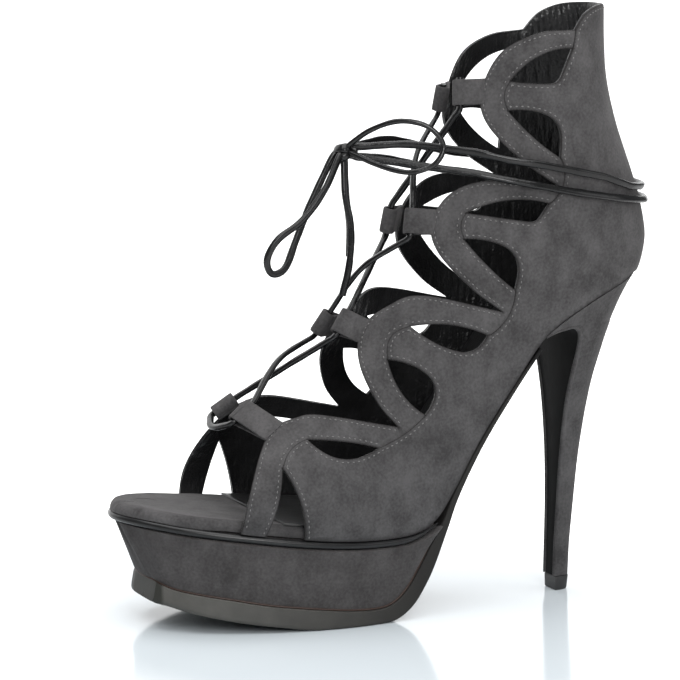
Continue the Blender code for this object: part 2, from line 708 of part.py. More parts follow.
def build_platform():
    """Make the platform block, with a ledge for the piping round its top edge."""
    ledge = 2 * PIPING_RADIUS + 2 * GAP
    line, normals = feather_line(0.5)
    rings = []
    for row in sole_stations(PLATFORM_ROWS, 0.5):
        sides = []
        for side, tread_y in ((LATERAL, row.lateral), (MEDIAL, row.medial)):
            rim = np.array([row.feather_x, edge_y(row.feather_x, side)])
            inward = plan_inward(row.feather_x, side)
            tucked = GAP + TOE_UNDERCUT * np.clip(1 - row.feather_x / 30, 0, 1)
            corners = []
            for inset, depth in ((ledge + PIPING_RADIUS, GAP), (ledge + PIPING_RADIUS, ledge), (tucked, ledge)):
                x, y = rim + inward * inset
                near = int(np.argmin(np.abs(line[:, 0] - x)))
                across, up = normals[near]
                corners.append((x - across * depth, y, line[near, 1] - up * depth))
            sides.append(corners + [(row.seat_x, tread_y - side * FLANGE, row.seat_z)])
        rings.append(sides[0] + sides[1][::-1])
    loft("platform", rings, PLATFORM_SUEDE)


def build_outsole():
    """Make the outsole: the tread, its rise behind the platform, and the shank up to the heel."""
    rings = []
    for row in sole_stations(PLATFORM_ROWS + SHANK_ROWS, 0.5):
        seat = np.array([row.seat_x, row.seat_z])
        tread = np.array([row.tread_x, row.tread_z])
        up = unit(seat - tread)
        seat = seat - up * GAP
        turn = tread + up * min(TREAD_ROUND, 0.4 * np.linalg.norm(seat - tread))
        sides = []
        for side, edge in ((LATERAL, row.lateral), (MEDIAL, row.medial)):
            inset = side * TREAD_ROUND
            sides.append([(seat[0], edge, seat[1]), (turn[0], edge, turn[1]),
                          (tread[0], edge - inset, tread[1])])
        rings.append(sides[0] + sides[1][::-1])
    loft("outsole", rings, OUTSOLE_LEATHER)


def build_footbed():
    """Make the insole: flush with the piping and rounded at the open toe, set in inside the upper."""
    line, normals = feather_line(0.5)
    inside_upper = WALL + 4 * GAP
    toe = PLAN[0].x + np.array([0.35, 1.0, 2.2, 4.4, 8.0])
    rear = np.linspace(toe[-1] + 5.0, PLAN[-1].x - 2.2 * inside_upper, 36)
    rings = []
    for x in np.concatenate([toe, rear]):
        inset = FOOTBED_TOE_INSET + (inside_upper - FOOTBED_TOE_INSET) * np.clip((x - 20) / 18, 0, 1)
        thick = FOOTBED_TOE + (FOOTBED_REAR - FOOTBED_TOE) * np.clip((x - 5) / 60, 0, 1)
        thick *= 1 - 0.3 * np.clip(1 - (x - PLAN[0].x) / 6, 0, 1) ** 2
        sides = []
        for side in (LATERAL, MEDIAL):
            rim = np.array([x, edge_y(x, side)]) + plan_inward(x, side) * inset
            corners = []
            for height, pull in ((GAP, 0.0), (0.5 * thick, 0.0), (0.86 * thick, 0.8), (thick, 3.0)):
                at_x, y = rim + plan_inward(x, side) * pull
                near = int(np.argmin(np.abs(line[:, 0] - at_x)))
                across, up = normals[near]
                corners.append((at_x + across * height, y, line[near, 1] + up * height))
            sides.append(corners)
        rings.append(sides[0] + sides[1][::-1])
    loft("footbed", rings, SUEDE)


def tube(name, points, radius, finish, sides=2):
    """Make a round cord through points, with closed ends."""
    curve = bpy.data.curves.new(name, "CURVE")
    curve.dimensions = "3D"
    curve.bevel_depth = radius * MM
    curve.bevel_resolution = sides
    curve.use_fill_caps = True
    spline = curve.splines.new("POLY")
    spline.points.add(len(points) - 1)
    for place, point in zip(spline.points, points):
        place.co = (*world(point), 1.0)
    curve.materials.append(material(finish))
    made = bpy.data.objects.new(name, curve)
    bpy.context.scene.collection.objects.link(made)
    return made


def build_piping():
    """Make the leather roll that runs round the toe on the platform's ledge."""
    rear = PLATFORM_ROWS[-1].feather_x
    line, normals = feather_line(0.5)
    centre = []
    for side in (LATERAL, MEDIAL):
        half = PLAN_SIDES[side]
        half = half[half[:, 0] <= rear]
        inset = [point + plan_inward(point[0], side) * PIPING_RADIUS for point in half]
        centre += inset[::-1] if side == LATERAL else inset[1:]
    points = []
    for x, y in evenly(centre, 7.0):
        near = int(np.argmin(np.abs(line[:, 0] - x)))
        across, up = normals[near]
        depth = PIPING_RADIUS + GAP
        points.append((x - across * depth, y, line[near, 1] - up * depth))
    tube("piping", points, PIPING_RADIUS, BLACK_LEATHER)


def heel_section(row):
    """Return the outline of the heel at one height, from the lateral breast corner round to the medial."""
    turn = np.linspace(-math.pi / 2, math.pi / 2, 60)
    x = row.breast + (row.back - row.breast) * np.cos(turn)
    y = row.half_width * np.sin(turn)
    outline = np.stack([x, y], axis=1)
    step = np.sum(np.linalg.norm(np.diff(outline, axis=0), axis=1)) / (2 * HEEL_SIDES - 1)
    return [(point[0], point[1], row.z) for point in evenly(outline, step)]


def heel_seat():
    """Return the outline of the heel's top, just under the upper and the footbed."""
    full, _ = feather_line(0.5)
    halves = []
    for side in (LATERAL, MEDIAL):
        x = PLAN[-1].x - 0.8 - (PLAN[-1].x - 0.8 - HEEL_LIP_X) * np.linspace(0, 1, 80) ** 2
        y = edge_y(x, side)
        y = y - side * np.minimum(0.6, np.abs(y))
        y[0] = 0.0
        halves.append(np.stack([x, y], axis=1))
    outline = np.vstack([halves[0][::-1], halves[1][1:]])
    step = np.sum(np.linalg.norm(np.diff(outline, axis=0), axis=1)) / (2 * HEEL_SIDES - 1)
    places = evenly(outline, step)
    sunk = GAP + HEEL_SEAT_SINK * np.clip((places[:, 0] - 220) / 8, 0, 1)
    height = np.interp(places[:, 0], full[:, 0], full[:, 1]) - sunk
    return [(x, y, z) for (x, y), z in zip(places, height)]


def build_heel():
    """Make the stiletto heel, its breast cover and its top piece."""
    loft("heel", [heel_section(row) for row in HEEL] + [heel_seat()], SUEDE, strip_caps=True)

    heights = np.linspace(HEEL[0].z + 0.6, BREAST_TOP_Z, 10)
    rings = []
    for z in heights:
        breast, half = (np.interp(z, [row.z for row in HEEL], [getattr(row, column) for row in HEEL])
                        for column in ("breast", "half_width"))
        rounding = np.clip((BREAST_TOP_Z - z) / 16, 0, 1)
        half = (half - BREAST_LIP) * (0.55 + 0.45 * math.sqrt(1 - (1 - rounding) ** 2))
        back = breast - GAP
        front = back - BREAST_COVER
        rings.append([(back, -half, z), (front, -half, z), (front, half, z), (back, half, z)])
    loft("heel_breast", rings, BLACK_LEATHER)

    sole = HEEL[0]
    grown = HeelRow(TIP_HEIGHT, sole.breast - 0.3, sole.back + 0.2, sole.half_width + 0.2)
    tread = HeelRow(0.0, sole.breast - 0.2, sole.back - 0.4, sole.half_width)
    loft("heel_tip", [heel_section(tread), heel_section(grown)], TIP_RUBBER, strip_caps=True)


class LaceLoop:
    """A folded suede tab, with its root under the band's edge and a tunnel for the lace at its free end."""

    def __init__(self, number, side):
        self.name = f"loop_{number}_{'lateral' if side == LATERAL else 'medial'}"
        nose = SCALLOPS[number].nose if number in SCALLOPS else TOE_STRAP_FRONT[2]
        place = locate([nose], side)
        surface = last_points(side, place[:, 0], place[:, 1])[0]
        outward = last_normals(side, place[:, 0], place[:, 1])[0]
        end = np.array(LOOP_ENDS[number].lateral if side == LATERAL else LOOP_ENDS[number].medial)
        root = surface - outward * (BAND_STEP + WALL) / 2
        self.forward = unit(end - root)
        self.axis = unit(np.cross(self.forward, outward) * (1 if side == LATERAL else -1))
        if self.axis[2] < 0:
            self.axis = -self.axis
        self.outward = unit(outward - self.forward * np.dot(outward, self.forward))
        self.tunnel = LACE_RADIUS + LACE_PLAY
        self.outside = self.tunnel + LOOP_SKIN
        self.root = root + self.forward * LOOP_CLEAR
        self.centre = end - self.forward * self.outside
        self.length = float(np.dot(self.centre - self.root, self.forward))

    def point(self, forward, outward, along_axis):
        """Return a point of the tab from its own directions, measured at the tunnel."""
        return self.centre + self.forward * forward + self.outward * outward + self.axis * along_axis

    def build(self):
        """Make the tab as a ring swept along the tunnel."""
        bm = bmesh.new()
        half_root = (WALL - BAND_STEP) / 2
        angles = np.radians(np.linspace(-125, 125, LOOP_SIDES - 2))
        outer = [(self.outside * math.cos(a), self.outside * math.sin(a)) for a in angles]
        outer += [(-self.length, half_root), (-self.length, -half_root)]
        hole_angles = list(angles) + [math.radians(165), math.radians(195)]
        inner = [(self.tunnel * math.cos(a), self.tunnel * math.sin(a)) for a in hole_angles]
        rings = []
        for end in (-LOOP_WIDTH / 2, LOOP_WIDTH / 2):
            rings.append([[bm.verts.new(world(self.point(f, n, end))) for f, n in ring]
                          for ring in (outer, inner)])
        for i in range(LOOP_SIDES):
            j = (i + 1) % LOOP_SIDES
            (a, b), (c, d) = rings
            bm.faces.new((a[i], a[j], c[j], c[i]))
            bm.faces.new((b[j], b[i], d[i], d[j]))
            bm.faces.new((a[j], a[i], b[i], b[j]))
            bm.faces.new((c[i], c[j], d[j], d[i]))
        add_object(self.name, bm, SUEDE)

    def pass_through(self, upwards):
        """Return the lace's points through the tunnel, from just before it to just after it."""
        ends = np.array([-0.5, 0.0, 0.5]) * (LOOP_WIDTH + 2.0)
        return [self.point(0, 0, end) for end in (ends if upwards else ends[::-1])]


def span(before, middle, after):
    """Return the lace's points between two tunnels, through a middle point and without the ends."""
    controls = [before[-2], before[-1], middle, after[0], after[1]]
    dense = along(controls, np.linspace(1, 3, 60))
    return list(evenly(dense, 5.4)[1:-1])


def build_lacing(loops):
    """Run one lace down through the loops to the toe bar and up again, crossing over itself."""
    down = [loops[4, LATERAL], loops[3, MEDIAL], loops[2, LATERAL], loops[1, MEDIAL]]
    up = [loops[1, LATERAL], loops[2, MEDIAL], loops[3, LATERAL], loops[4, MEDIAL]]
    order = [(loop, False, 0.0) for loop in down] + [(loop, True, CROSSING_LIFT) for loop in up]
    route = []
    for (loop, upwards, lift), following in zip(order, order[1:] + [None]):
        passing = loop.pass_through(upwards)
        route += passing
        if following is None:
            break
        ahead = following[0].pass_through(following[1])
        front = unit((loop.outward + following[0].outward) * (1, 0, 1))
        middle = (passing[-1] + ahead[0]) / 2 + front * lift
        if upwards != following[1]:
            middle = (passing[-1] + ahead[0]) / 2 - loop.axis * (0.5, 0, 0.5) * LOOP_WIDTH
        route += span(passing, middle, ahead)
    tube("lace_crossings", route, LACE_RADIUS, LACE_LEATHER)


def wrap_route(side_view, front, knot_side):
    """Return one turn of the lace from the knot round the ankle and back to the knot."""
    back_rows = np.linspace(HEEL_SEAM_ROW, len(LAST) - 1, 800)
    back = float(np.interp(side_view[-1][1] - 1.5, rung_at(back_rows)[0][:, 1], back_rows))
    halves = []
    for side in (LATERAL, MEDIAL):
        places = np.vstack([locate(side_view, side), [(back, 0.0)]])
        at = np.linspace(0, len(places) - 1, 20 * len(places))
        row, girth = (np.interp(at, range(len(places)), column) for column in places.T)
        points = last_points(side, row, girth) + last_normals(side, row, girth) * WRAP_OFFSET
        turn = evenly(points, WRAP_STEP)
        lead = np.array([front[0], side * front[1], front[2]])
        start = np.array(KNOT_CENTRE) + unit([knot_side[0], side * knot_side[1], knot_side[2]]) * KNOT_CLEAR
        halves.append([*smooth_route([start, lead, turn[0], turn[1]], WRAP_STEP)[:-1], *turn[1:]])
    return halves[0] + halves[1][-2::-1]


def build_bow():
    """Make the turns round the ankle, the knot, the two loops of the bow and the two ends."""
    upper = wrap_route(WRAP_UPPER, WRAP_FRONT_UPPER, (0.84, 0.36, 0.40))
    lower = wrap_route(WRAP_LOWER, WRAP_FRONT_LOWER, (0.80, 0.46, -0.38))
    tube("lace_wrap_upper", upper, LACE_RADIUS, LACE_LEATHER)
    tube("lace_wrap_lower", lower, LACE_RADIUS, LACE_LEATHER)
    bm = bmesh.new()
    bmesh.ops.create_uvsphere(bm, u_segments=10, v_segments=7, radius=1.0)
    for vertex in bm.verts:
        vertex.co = world(np.array(KNOT_CENTRE) + np.array(vertex.co) * KNOT_RADII)
    add_object("lace_knot", bm, LACE_LEATHER)
    routes = {"bow_loop_front": BOW_FRONT, "bow_loop_side": BOW_SIDE,
              "lace_end_long": END_LONG, "lace_end_short": END_SHORT}
    for name, route in routes.items():
        tube(name, smooth_route(route, 5.5), LACE_RADIUS, LACE_LEATHER)


def main():
    """Clear the scene and build every piece of the shoe."""
    for old in list(bpy.data.objects):
        bpy.data.objects.remove(old, do_unlink=True)
    build_upper()
    build_platform()
    build_outsole()
    build_footbed()
    build_piping()
    build_heel()
    loops = {(number, side): LaceLoop(number, side) for number in LOOP_ENDS for side in (LATERAL, MEDIAL)}
    for loop in loops.values():
        loop.build()
    build_lacing(loops)
    build_bow()


main()
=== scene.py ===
"""Dress the lace-up platform pump of the shared frame, and light and frame it as in the photo.

Sizes are millimetres in the shoe's own directions: x back from the toe tip, y across with the lateral side
negative, and z up from the floor. world() turns them into metres of the shared frame.
"""

import enum
import logging
import math
from dataclasses import dataclass
from typing import NamedTuple, Sequence

import bmesh
import bpy
import numpy as np
from mathutils import Matrix, Vector
from mathutils.geometry import delaunay_2d_cdt
from mathutils.kdtree import KDTree

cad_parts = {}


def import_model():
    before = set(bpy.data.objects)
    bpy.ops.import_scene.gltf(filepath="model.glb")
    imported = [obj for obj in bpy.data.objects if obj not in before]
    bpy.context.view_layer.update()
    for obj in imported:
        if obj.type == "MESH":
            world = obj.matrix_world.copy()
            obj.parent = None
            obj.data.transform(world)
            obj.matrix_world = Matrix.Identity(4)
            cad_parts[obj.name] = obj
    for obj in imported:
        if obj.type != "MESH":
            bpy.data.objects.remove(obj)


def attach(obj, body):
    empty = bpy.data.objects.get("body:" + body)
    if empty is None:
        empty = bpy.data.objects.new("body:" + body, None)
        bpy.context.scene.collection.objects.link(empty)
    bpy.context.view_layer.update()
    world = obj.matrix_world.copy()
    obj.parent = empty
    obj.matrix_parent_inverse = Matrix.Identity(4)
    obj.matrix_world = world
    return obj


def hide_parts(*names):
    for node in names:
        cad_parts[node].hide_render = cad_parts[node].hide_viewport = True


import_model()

LOG = logging.getLogger("lace_up_pump")
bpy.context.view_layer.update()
ROOT = "root"

MM = 0.001
CENTRE_X = 118.6
GAP = 0.3
WALL = 2.2
BAND_STEP = 0.7
LACE_RADIUS = 1.4
PIPING_RADIUS = 1.5
TIP_HEIGHT = 5.9

Colour = tuple[float, float, float]
Pair = tuple[float, float]
Triple = tuple[float, float, float]
Rows = Sequence[Sequence[float]]
Array = np.ndarray
Socket = bpy.types.NodeSocket


class Side(enum.IntEnum):
    """The two sides of the foot, with the sign of y on each."""

    LATERAL = -1
    MEDIAL = 1


class PlanRow(NamedTuple):
    """Plan outline at the feather line, where the upper meets the sole."""

    x: float
    lateral: float
    medial: float


PLAN = [PlanRow(*row) for row in (
    (1.2, 1.0, 1.0),
    (4.8, -11.5, 14.0),
    (12.0, -20.8, 24.3),
    (25.0, -29.5, 33.5),
    (45.0, -36.8, 39.6),
    (68.0, -41.0, 42.0),
    (90.0, -42.0, 41.0),
    (112.0, -38.5, 36.5),
    (135.0, -33.8, 30.2),
    (160.0, -30.6, 26.6),
    (185.0, -29.0, 26.6),
    (207.0, -25.6, 24.6),
    (222.5, -18.6, 18.6),
    (232.6, 0.0, 0.0),
)]


class Rung(NamedTuple):
    """A section of the last, from the feather line or back seam to the front line, and its half widths."""

    sole_x: float
    sole_z: float
    front_x: float
    front_z: float
    lateral: float
    medial: float
    drop: float


LAST = [Rung(*row) for row in (
    (30.0, 43.0, 28.0, 70.0, 33.5, 36.0, 0.0),
    (50.0, 40.3, 45.0, 79.0, 40.0, 41.5, 0.0),
    (68.0, 37.9, 56.0, 88.0, 43.0, 43.3, 0.0),
    (90.0, 35.8, 72.0, 100.0, 43.2, 42.0, 0.5),
    (110.0, 35.2, 85.0, 110.5, 40.0, 38.0, 1.0),
    (121.0, 36.6, 94.0, 118.0, 38.0, 35.0, 1.5),
    (130.0, 41.3, 101.0, 126.0, 36.5, 32.5, 2.0),
    (138.0, 52.0, 106.5, 134.0, 35.0, 30.5, 2.0),
    (150.0, 71.5, 111.5, 143.5, 33.5, 29.5, 2.0),
    (165.0, 92.0, 115.5, 151.5, 32.0, 29.0, 2.0),
    (181.0, 112.4, 119.0, 159.0, 31.5, 29.0, 2.0),
    (200.0, 124.0, 121.5, 165.0, 31.5, 29.5, 2.0),
    (216.5, 131.0, 123.5, 169.0, 31.5, 30.0, 2.0),
    (227.0, 134.0, 125.0, 172.0, 31.5, 30.0, 2.0),
    (232.6, 134.8, 126.5, 174.5, 31.5, 30.3, 2.0),
    (236.0, 147.5, 130.0, 180.5, 31.5, 30.5, 2.0),
    (234.8, 158.5, 133.0, 186.5, 31.7, 31.0, 2.2),
    (231.2, 172.0, 137.0, 194.0, 32.0, 31.5, 2.5),
    (226.0, 185.0, 141.0, 201.5, 32.0, 31.2, 3.0),
    (221.4, 198.0, 144.5, 209.5, 31.6, 30.4, 3.7),
    (216.9, 216.6, 148.0, 222.0, 30.8, 28.6, 4.5),
    (215.5, 231.0, 150.0, 234.0, 29.8, 26.6, 5.0),
    (215.4, 248.0, 151.0, 250.0, 28.5, 24.0, 5.0),
)]
HEEL_SEAM_ROW = 14
BACK_FULLNESS = 0.85


class Scallop(NamedTuple):
    """Outer edge of one band in side view."""

    crown: Pair
    shoulder: Pair
    nose: Pair
    chin: Pair
    back: Pair
    valley: Pair


SCALLOPS = {
    4: Scallop((177.0, 237.2), (162.0, 229.8), (154.2, 213.5),
               (155.5, 200.0), (168.0, 185.7), (183.6, 174.9)),
    3: Scallop((156.0, 177.5), (141.0, 172.7), (132.8, 161.0),
               (134.2, 148.8), (147.0, 133.8), (159.8, 124.0)),
    2: Scallop((127.0, 131.9), (113.0, 127.5), (102.8, 118.3),
               (99.6, 105.5), (104.5, 90.3), (112.2, 80.2)),
}
TOE_STRAP_FRONT = [(81.0, 86.8), (69.5, 85.8), (60.4, 81.6), (52.5, 71.3), (46.0, 56.0)]
COLLAR_EDGE = [(207.0, 247.0), (200.0, 244.8), (196.2, 241.6), (193.4, 238.0)]
COLLAR_PEAK_Z = 247.0


class Window(NamedTuple):
    """A cut-out in side view: three corners, the bow of its sides, and the radius of one rear corner."""

    tip: Pair
    top: Pair
    low: Pair
    bow_top: float
    bow_rear: float
    bow_low: float
    radius: float


UPPER_WINDOWS = {
    4: Window((164.4, 217.7), (191.7, 230.4), (184.5, 216.6), 4.2, 0.0, 0.5, 3.0),
    3: Window((145.9, 164.6), (180.4, 167.5), (174.7, 159.9), 3.3, 0.0, 0.0, 2.5),
    2: Window((120.6, 119.8), (153.3, 114.6), (145.5, 107.9), 2.6, 0.8, 2.2, 4.0),
    1: Window((72.6, 77.8), (102.8, 72.5), (97.0, 70.2), 1.2, 0.3, 4.0, 3.0),
}
LOWER_WINDOWS = {
    4: Window((163.3, 205.8), (185.2, 200.5), (184.9, 186.3), 2.1, 0.3, 1.5, 6.0),
    3: Window((144.6, 154.1), (166.8, 147.0), (165.4, 132.8), 2.1, 0.8, 1.2, 6.0),
    2: Window((110.6, 106.8), (130.0, 96.0), (124.5, 84.2), 2.4, 1.2, 3.2, 5.0),
}
STRAP_GAP_APEX = (60.7, 67.4)
STRAP_GAP_BOWS = (-0.6, -2.1)
STRAP_FOOT_X = (43.3, 53.4)
QUARTER_FOOT_X = 69.0
FINGER_BOWS = {4: 1.9, 3: 1.7, 2: 3.6, 1: 2.1}
ARM_SEAM_BOWS = {4: 4.0, 3: 3.2, 2: 1.4}
TOE_LINE = [(1.0, 47.2), (10.0, 46.4), (20.0, 44.7), (30.0, 43.0), (40.0, 41.6)]


class SoleRow(NamedTuple):
    """One station of the sole: feather line, top of the outsole, tread, and the outsole's edges."""

    feather_x: float
    seat_x: float
    seat_z: float
    tread_x: float
    tread_z: float
    lateral: float
    medial: float


PLATFORM_ROWS = [SoleRow(*row) for row in (
    (1.9, 15.0, 20.4, 13.4, 12.0, -11.5, 10.0),
    (4.0, 16.3, 19.5, 14.8, 11.4, -16.2, 16.4),
    (9.6, 20.0, 17.9, 19.0, 10.4, -21.0, 22.8),
    (20.0, 27.5, 16.3, 26.8, 8.1, -27.5, 29.7),
    (36.0, 41.0, 14.0, 41.0, 5.1, -33.8, 36.0),
    (54.0, 57.0, 11.1, 57.0, 2.5, -38.0, 39.3),
    (74.0, 75.0, 8.8, 76.0, 0.0, -40.3, 40.3),
    (92.0, 91.0, 7.0, 92.0, 0.0, -40.2, 38.8),
    (106.0, 103.5, 6.6, 104.0, 0.0, -38.2, 36.3),
    (114.0, 110.5, 8.7, 112.0, 1.3, -37.0, 34.5),
    (120.0, 116.5, 13.9, 119.0, 6.0, -35.8, 33.0),
    (125.5, 122.0, 21.9, 124.5, 13.0, -34.6, 31.8),
    (129.5, 127.0, 30.3, 129.0, 21.0, -33.8, 30.8),
)]
SHANK_ROWS = [SoleRow(*row) for row in (
    (133.0, 132.8, 40.2, 135.4, 36.4, -33.2, 30.2),
    (138.0, 138.3, 51.8, 141.1, 50.2, -32.4, 28.9),
    (150.0, 150.3, 71.3, 152.4, 70.0, -30.8, 26.6),
    (165.0, 165.3, 91.8, 166.9, 90.6, -29.3, 25.5),
    (177.5, 177.8, 107.8, 179.2, 106.7, -28.3, 25.5),
)]


class HeelRow(NamedTuple):
    """The heel at one height: breast, back and half width."""

    z: float
    breast: float
    back: float
    half_width: float


HEEL = [
    HeelRow(TIP_HEIGHT + GAP, 196.7, 204.2, 5.2),
    HeelRow(20.0, 197.0, 204.9, 5.4),
    HeelRow(37.0, 197.6, 206.4, 6.2),
    HeelRow(55.0, 198.0, 208.1, 7.6),
    HeelRow(70.0, 198.2, 210.1, 9.8),
    HeelRow(82.0, 198.4, 212.0, 12.6),
    HeelRow(91.0, 198.6, 213.6, 15.8),
    HeelRow(98.0, 198.8, 215.2, 18.8),
    HeelRow(104.0, 199.2, 216.8, 21.0),
]


TIP = [
    HeelRow(0.0, 196.8, 203.5, 4.9),
    HeelRow(0.5, 196.5, 203.8, 5.2),
    HeelRow(5.5, 196.4, 204.4, 5.4),
    HeelRow(TIP_HEIGHT, 196.6, 204.2, 5.2),
]


class EdgePoint(NamedTuple):
    """A point of the insole's section: share of the thickness, and how far it is drawn in from the edge."""

    share: float
    pull: float


INSOLE_EDGE = [EdgePoint(*row) for row in (
    (0.0, 0.0), (0.30, 0.0), (0.48, 0.25), (0.64, 0.65),
    (0.78, 1.2), (0.90, 1.9), (0.97, 2.5), (1.0, 3.1),
    (1.0, 3.6), (0.985, 4.3), (0.965, 5.6), (0.95, 9.0),
    (0.93, 15.0), (0.91, 24.0),
)]
SOCK_EDGE = [EdgePoint(*row) for row in (
    (0.86, 1.4), (0.97, 1.5), (1.0, 2.2), (1.02, 3.6),
    (1.02, 5.5), (0.99, 9.0), (0.95, 15.0), (0.92, 24.0),
)]


class LoopRow(NamedTuple):
    """Where the free ends of a pair of lace loops lie."""

    lateral: Triple
    medial: Triple


LOOP_ENDS = {
    1: LoopRow((52.8, -7.5, 86.6), (52.6, 7.5, 86.4)),
    2: LoopRow((96.5, -6.5, 121.0), (94.0, 6.5, 118.5)),
    3: LoopRow((125.0, -9.5, 160.5), (124.5, 9.5, 158.5)),
    4: LoopRow((147.0, -8.5, 212.0), (148.0, 8.0, 208.0)),
}

WRAP_UPPER = [(150.8, 188.8), (163.6, 185.9), (176.0, 183.9), (189.0, 181.1), (204.0, 177.7), (218.5, 172.4)]
WRAP_LOWER = [(150.0, 180.6), (163.5, 177.7), (176.0, 175.2), (189.0, 172.5), (204.0, 169.7), (220.5, 166.9)]
WRAP_FRONT_UPPER = (127.0, 12.5, 192.0)
WRAP_FRONT_LOWER = (126.5, 14.5, 184.0)
WRAP_LEAVING_UPPER = (0.84, 0.36, 0.40)
WRAP_LEAVING_LOWER = (0.80, 0.46, -0.38)
KNOT_CENTRE = (102.0, -2.0, 189.0)
KNOT_RADII = (4.4, 4.2, 3.8)
BOW_FRONT = [
    (98.2, -5.0, 187.0), (90.5, -8.5, 174.5), (80.5, -10.0, 163.0), (69.5, -10.5, 155.5),
    (65.0, -10.0, 147.5), (67.5, -9.0, 141.5), (74.0, -7.0, 143.5), (80.0, -4.0, 154.5),
    (87.5, -1.5, 169.0), (97.2, -0.8, 187.0),
]
BOW_SIDE = [
    (103.0, -5.6, 192.4), (108.5, -13.0, 198.5), (118.0, -20.0, 202.5), (128.5, -25.0, 200.5),
    (134.5, -27.5, 193.0), (131.0, -27.5, 185.5), (122.0, -24.0, 182.0), (112.5, -16.0, 184.0),
    (103.8, -6.7, 188.5),
]
END_LONG = [
    (101.1, -3.6, 184.9), (100.4, -6.4, 172.0), (102.4, -7.6, 158.0), (101.4, -8.4, 144.0),
    (98.2, -8.6, 131.0),
]
END_SHORT = [
    (102.6, -0.2, 184.9), (103.6, 0.6, 172.0), (104.6, -0.6, 158.0), (104.0, -1.4, 146.0),
]


class Crease(NamedTuple):
    """A soft trough in the suede in side view; a negative depth is a ridge."""

    x: float
    z: float
    heading: float
    length: float
    width: float
    depth: float


CREASES = [Crease(*row) for row in (
    (206.0, 181.0, 165.0, 26.0, 4.0, 0.55),
    (210.0, 170.0, 170.0, 22.0, 4.0, 0.45),
    (206.0, 175.5, 167.0, 20.0, 2.6, -0.35),
    (213.0, 208.0, 100.0, 16.0, 5.0, 0.45),
    (199.0, 214.0, 75.0, 14.0, 4.5, 0.35),
    (160.0, 100.0, 35.0, 20.0, 6.0, 0.40),
    (118.0, 62.0, 20.0, 22.0, 7.0, -0.35),
    (96.0, 52.0, 170.0, 18.0, 5.0, 0.35),
    (222.0, 150.0, 95.0, 14.0, 5.0, 0.35),
)]


def world(point: Sequence[float]) -> Vector:
    """Turn a point of the shoe in millimetres into metres of the shared frame."""
    x, y, z = (float(value) for value in point)
    return Vector(((x - CENTRE_X) * MM, y * MM, z * MM))


def unit(vector: Sequence[float]) -> Array:
    """Return a vector at length one."""
    vector = np.asarray(vector, float)
    return vector / np.linalg.norm(vector)


def units(vectors: Array) -> Array:
    """Return every row of an array at length one."""
    return vectors / np.linalg.norm(vectors, axis=1)[:, None]


def along(rows: Rows, position: Array) -> Array:
    """Read the columns of a table on a smooth curve through its rows.

    Args:
        rows: The table.
        position: Row positions, which may be fractions.

    Returns:
        One row of values for each position.
    """
    table = np.asarray(rows, float)
    position = np.clip(np.asarray(position, float), 0, len(table) - 1)
    row = np.minimum(position.astype(int), len(table) - 2)
    f = (position - row).reshape(position.shape + (1,) * (table.ndim - 1))
    padded = np.concatenate([2 * table[:1] - table[1:2], table, 2 * table[-1:] - table[-2:-1]])
    p0, p1, p2, p3 = padded[row], padded[row + 1], padded[row + 2], padded[row + 3]
    return p1 + 0.5 * f * (p2 - p0 + f * (2 * p0 - 5 * p1 + 4 * p2 - p3 + f * (3 * (p1 - p2) + p3 - p0)))


def lengths(points: Array) -> Array:
    """Return how far along a line each of its points lies."""
    return np.concatenate([[0.0], np.cumsum(np.linalg.norm(np.diff(points, axis=0), axis=1))])


def evenly(points: Rows, step: float) -> Array:
    """Resample a line at even lengths, keeping both its ends.

    Args:
        points: The line's points.
        step: About how far apart the new points are.

    Returns:
        The new points.
    """
    points = np.asarray(points, float)
    length = lengths(points)
    count = max(2, int(round(length[-1] / step)) + 1)
    places = np.linspace(0, length[-1], count)
    return np.stack([np.interp(places, length, column) for column in points.T], axis=1)


def smooth_route(points: Rows, step: float) -> Array:
    """Return points that lie about a step apart on a smooth curve through the points of a route."""
    return evenly(along(points, np.linspace(0, len(points) - 1, 16 * len(points))), step)


def bowed(start: Sequence[float], end: Sequence[float], bow: float, step: float = 0.4) -> Array:
    """Return points on a line that bows to its left.

    Args:
        start: First point.
        end: Last point.
        bow: How far the middle lies to the left.
        step: About how far apart the points are.

    Returns:
        The points.
    """
    start, end = np.asarray(start, float), np.asarray(end, float)
    line = end - start
    left = unit([-line[1], line[0]])
    count = max(3, int(np.linalg.norm(line) / step))
    f = np.linspace(0, 1, count)[:, None]
    return start + line * f + left * bow * 4 * f * (1 - f)


def fade(value: Array, low: float, high: float) -> Array:
    """Return shares that rise softly from 0 at a low value to 1 at a high one."""
    f = np.clip((np.asarray(value, float) - low) / (high - low), 0, 1)
    return f * f * (3 - 2 * f)


def inside(points: Array, outline: Array) -> Array:
    """Tell which points lie inside a closed flat outline.

    Args:
        points: Points of the flat pattern.
        outline: The outline's corners.

    Returns:
        True for each point inside.
    """
    x, y = points[:, 0:1], points[:, 1:2]
    a, b = outline, np.roll(outline, -1, axis=0)
    crosses = (a[:, 1] > y) != (b[:, 1] > y)
    rise = np.where(b[:, 1] == a[:, 1], 1.0, b[:, 1] - a[:, 1])
    at = a[:, 0] + (y - a[:, 1]) / rise * (b[:, 0] - a[:, 0])
    return np.sum(crosses & (x < at), axis=1) % 2 == 1


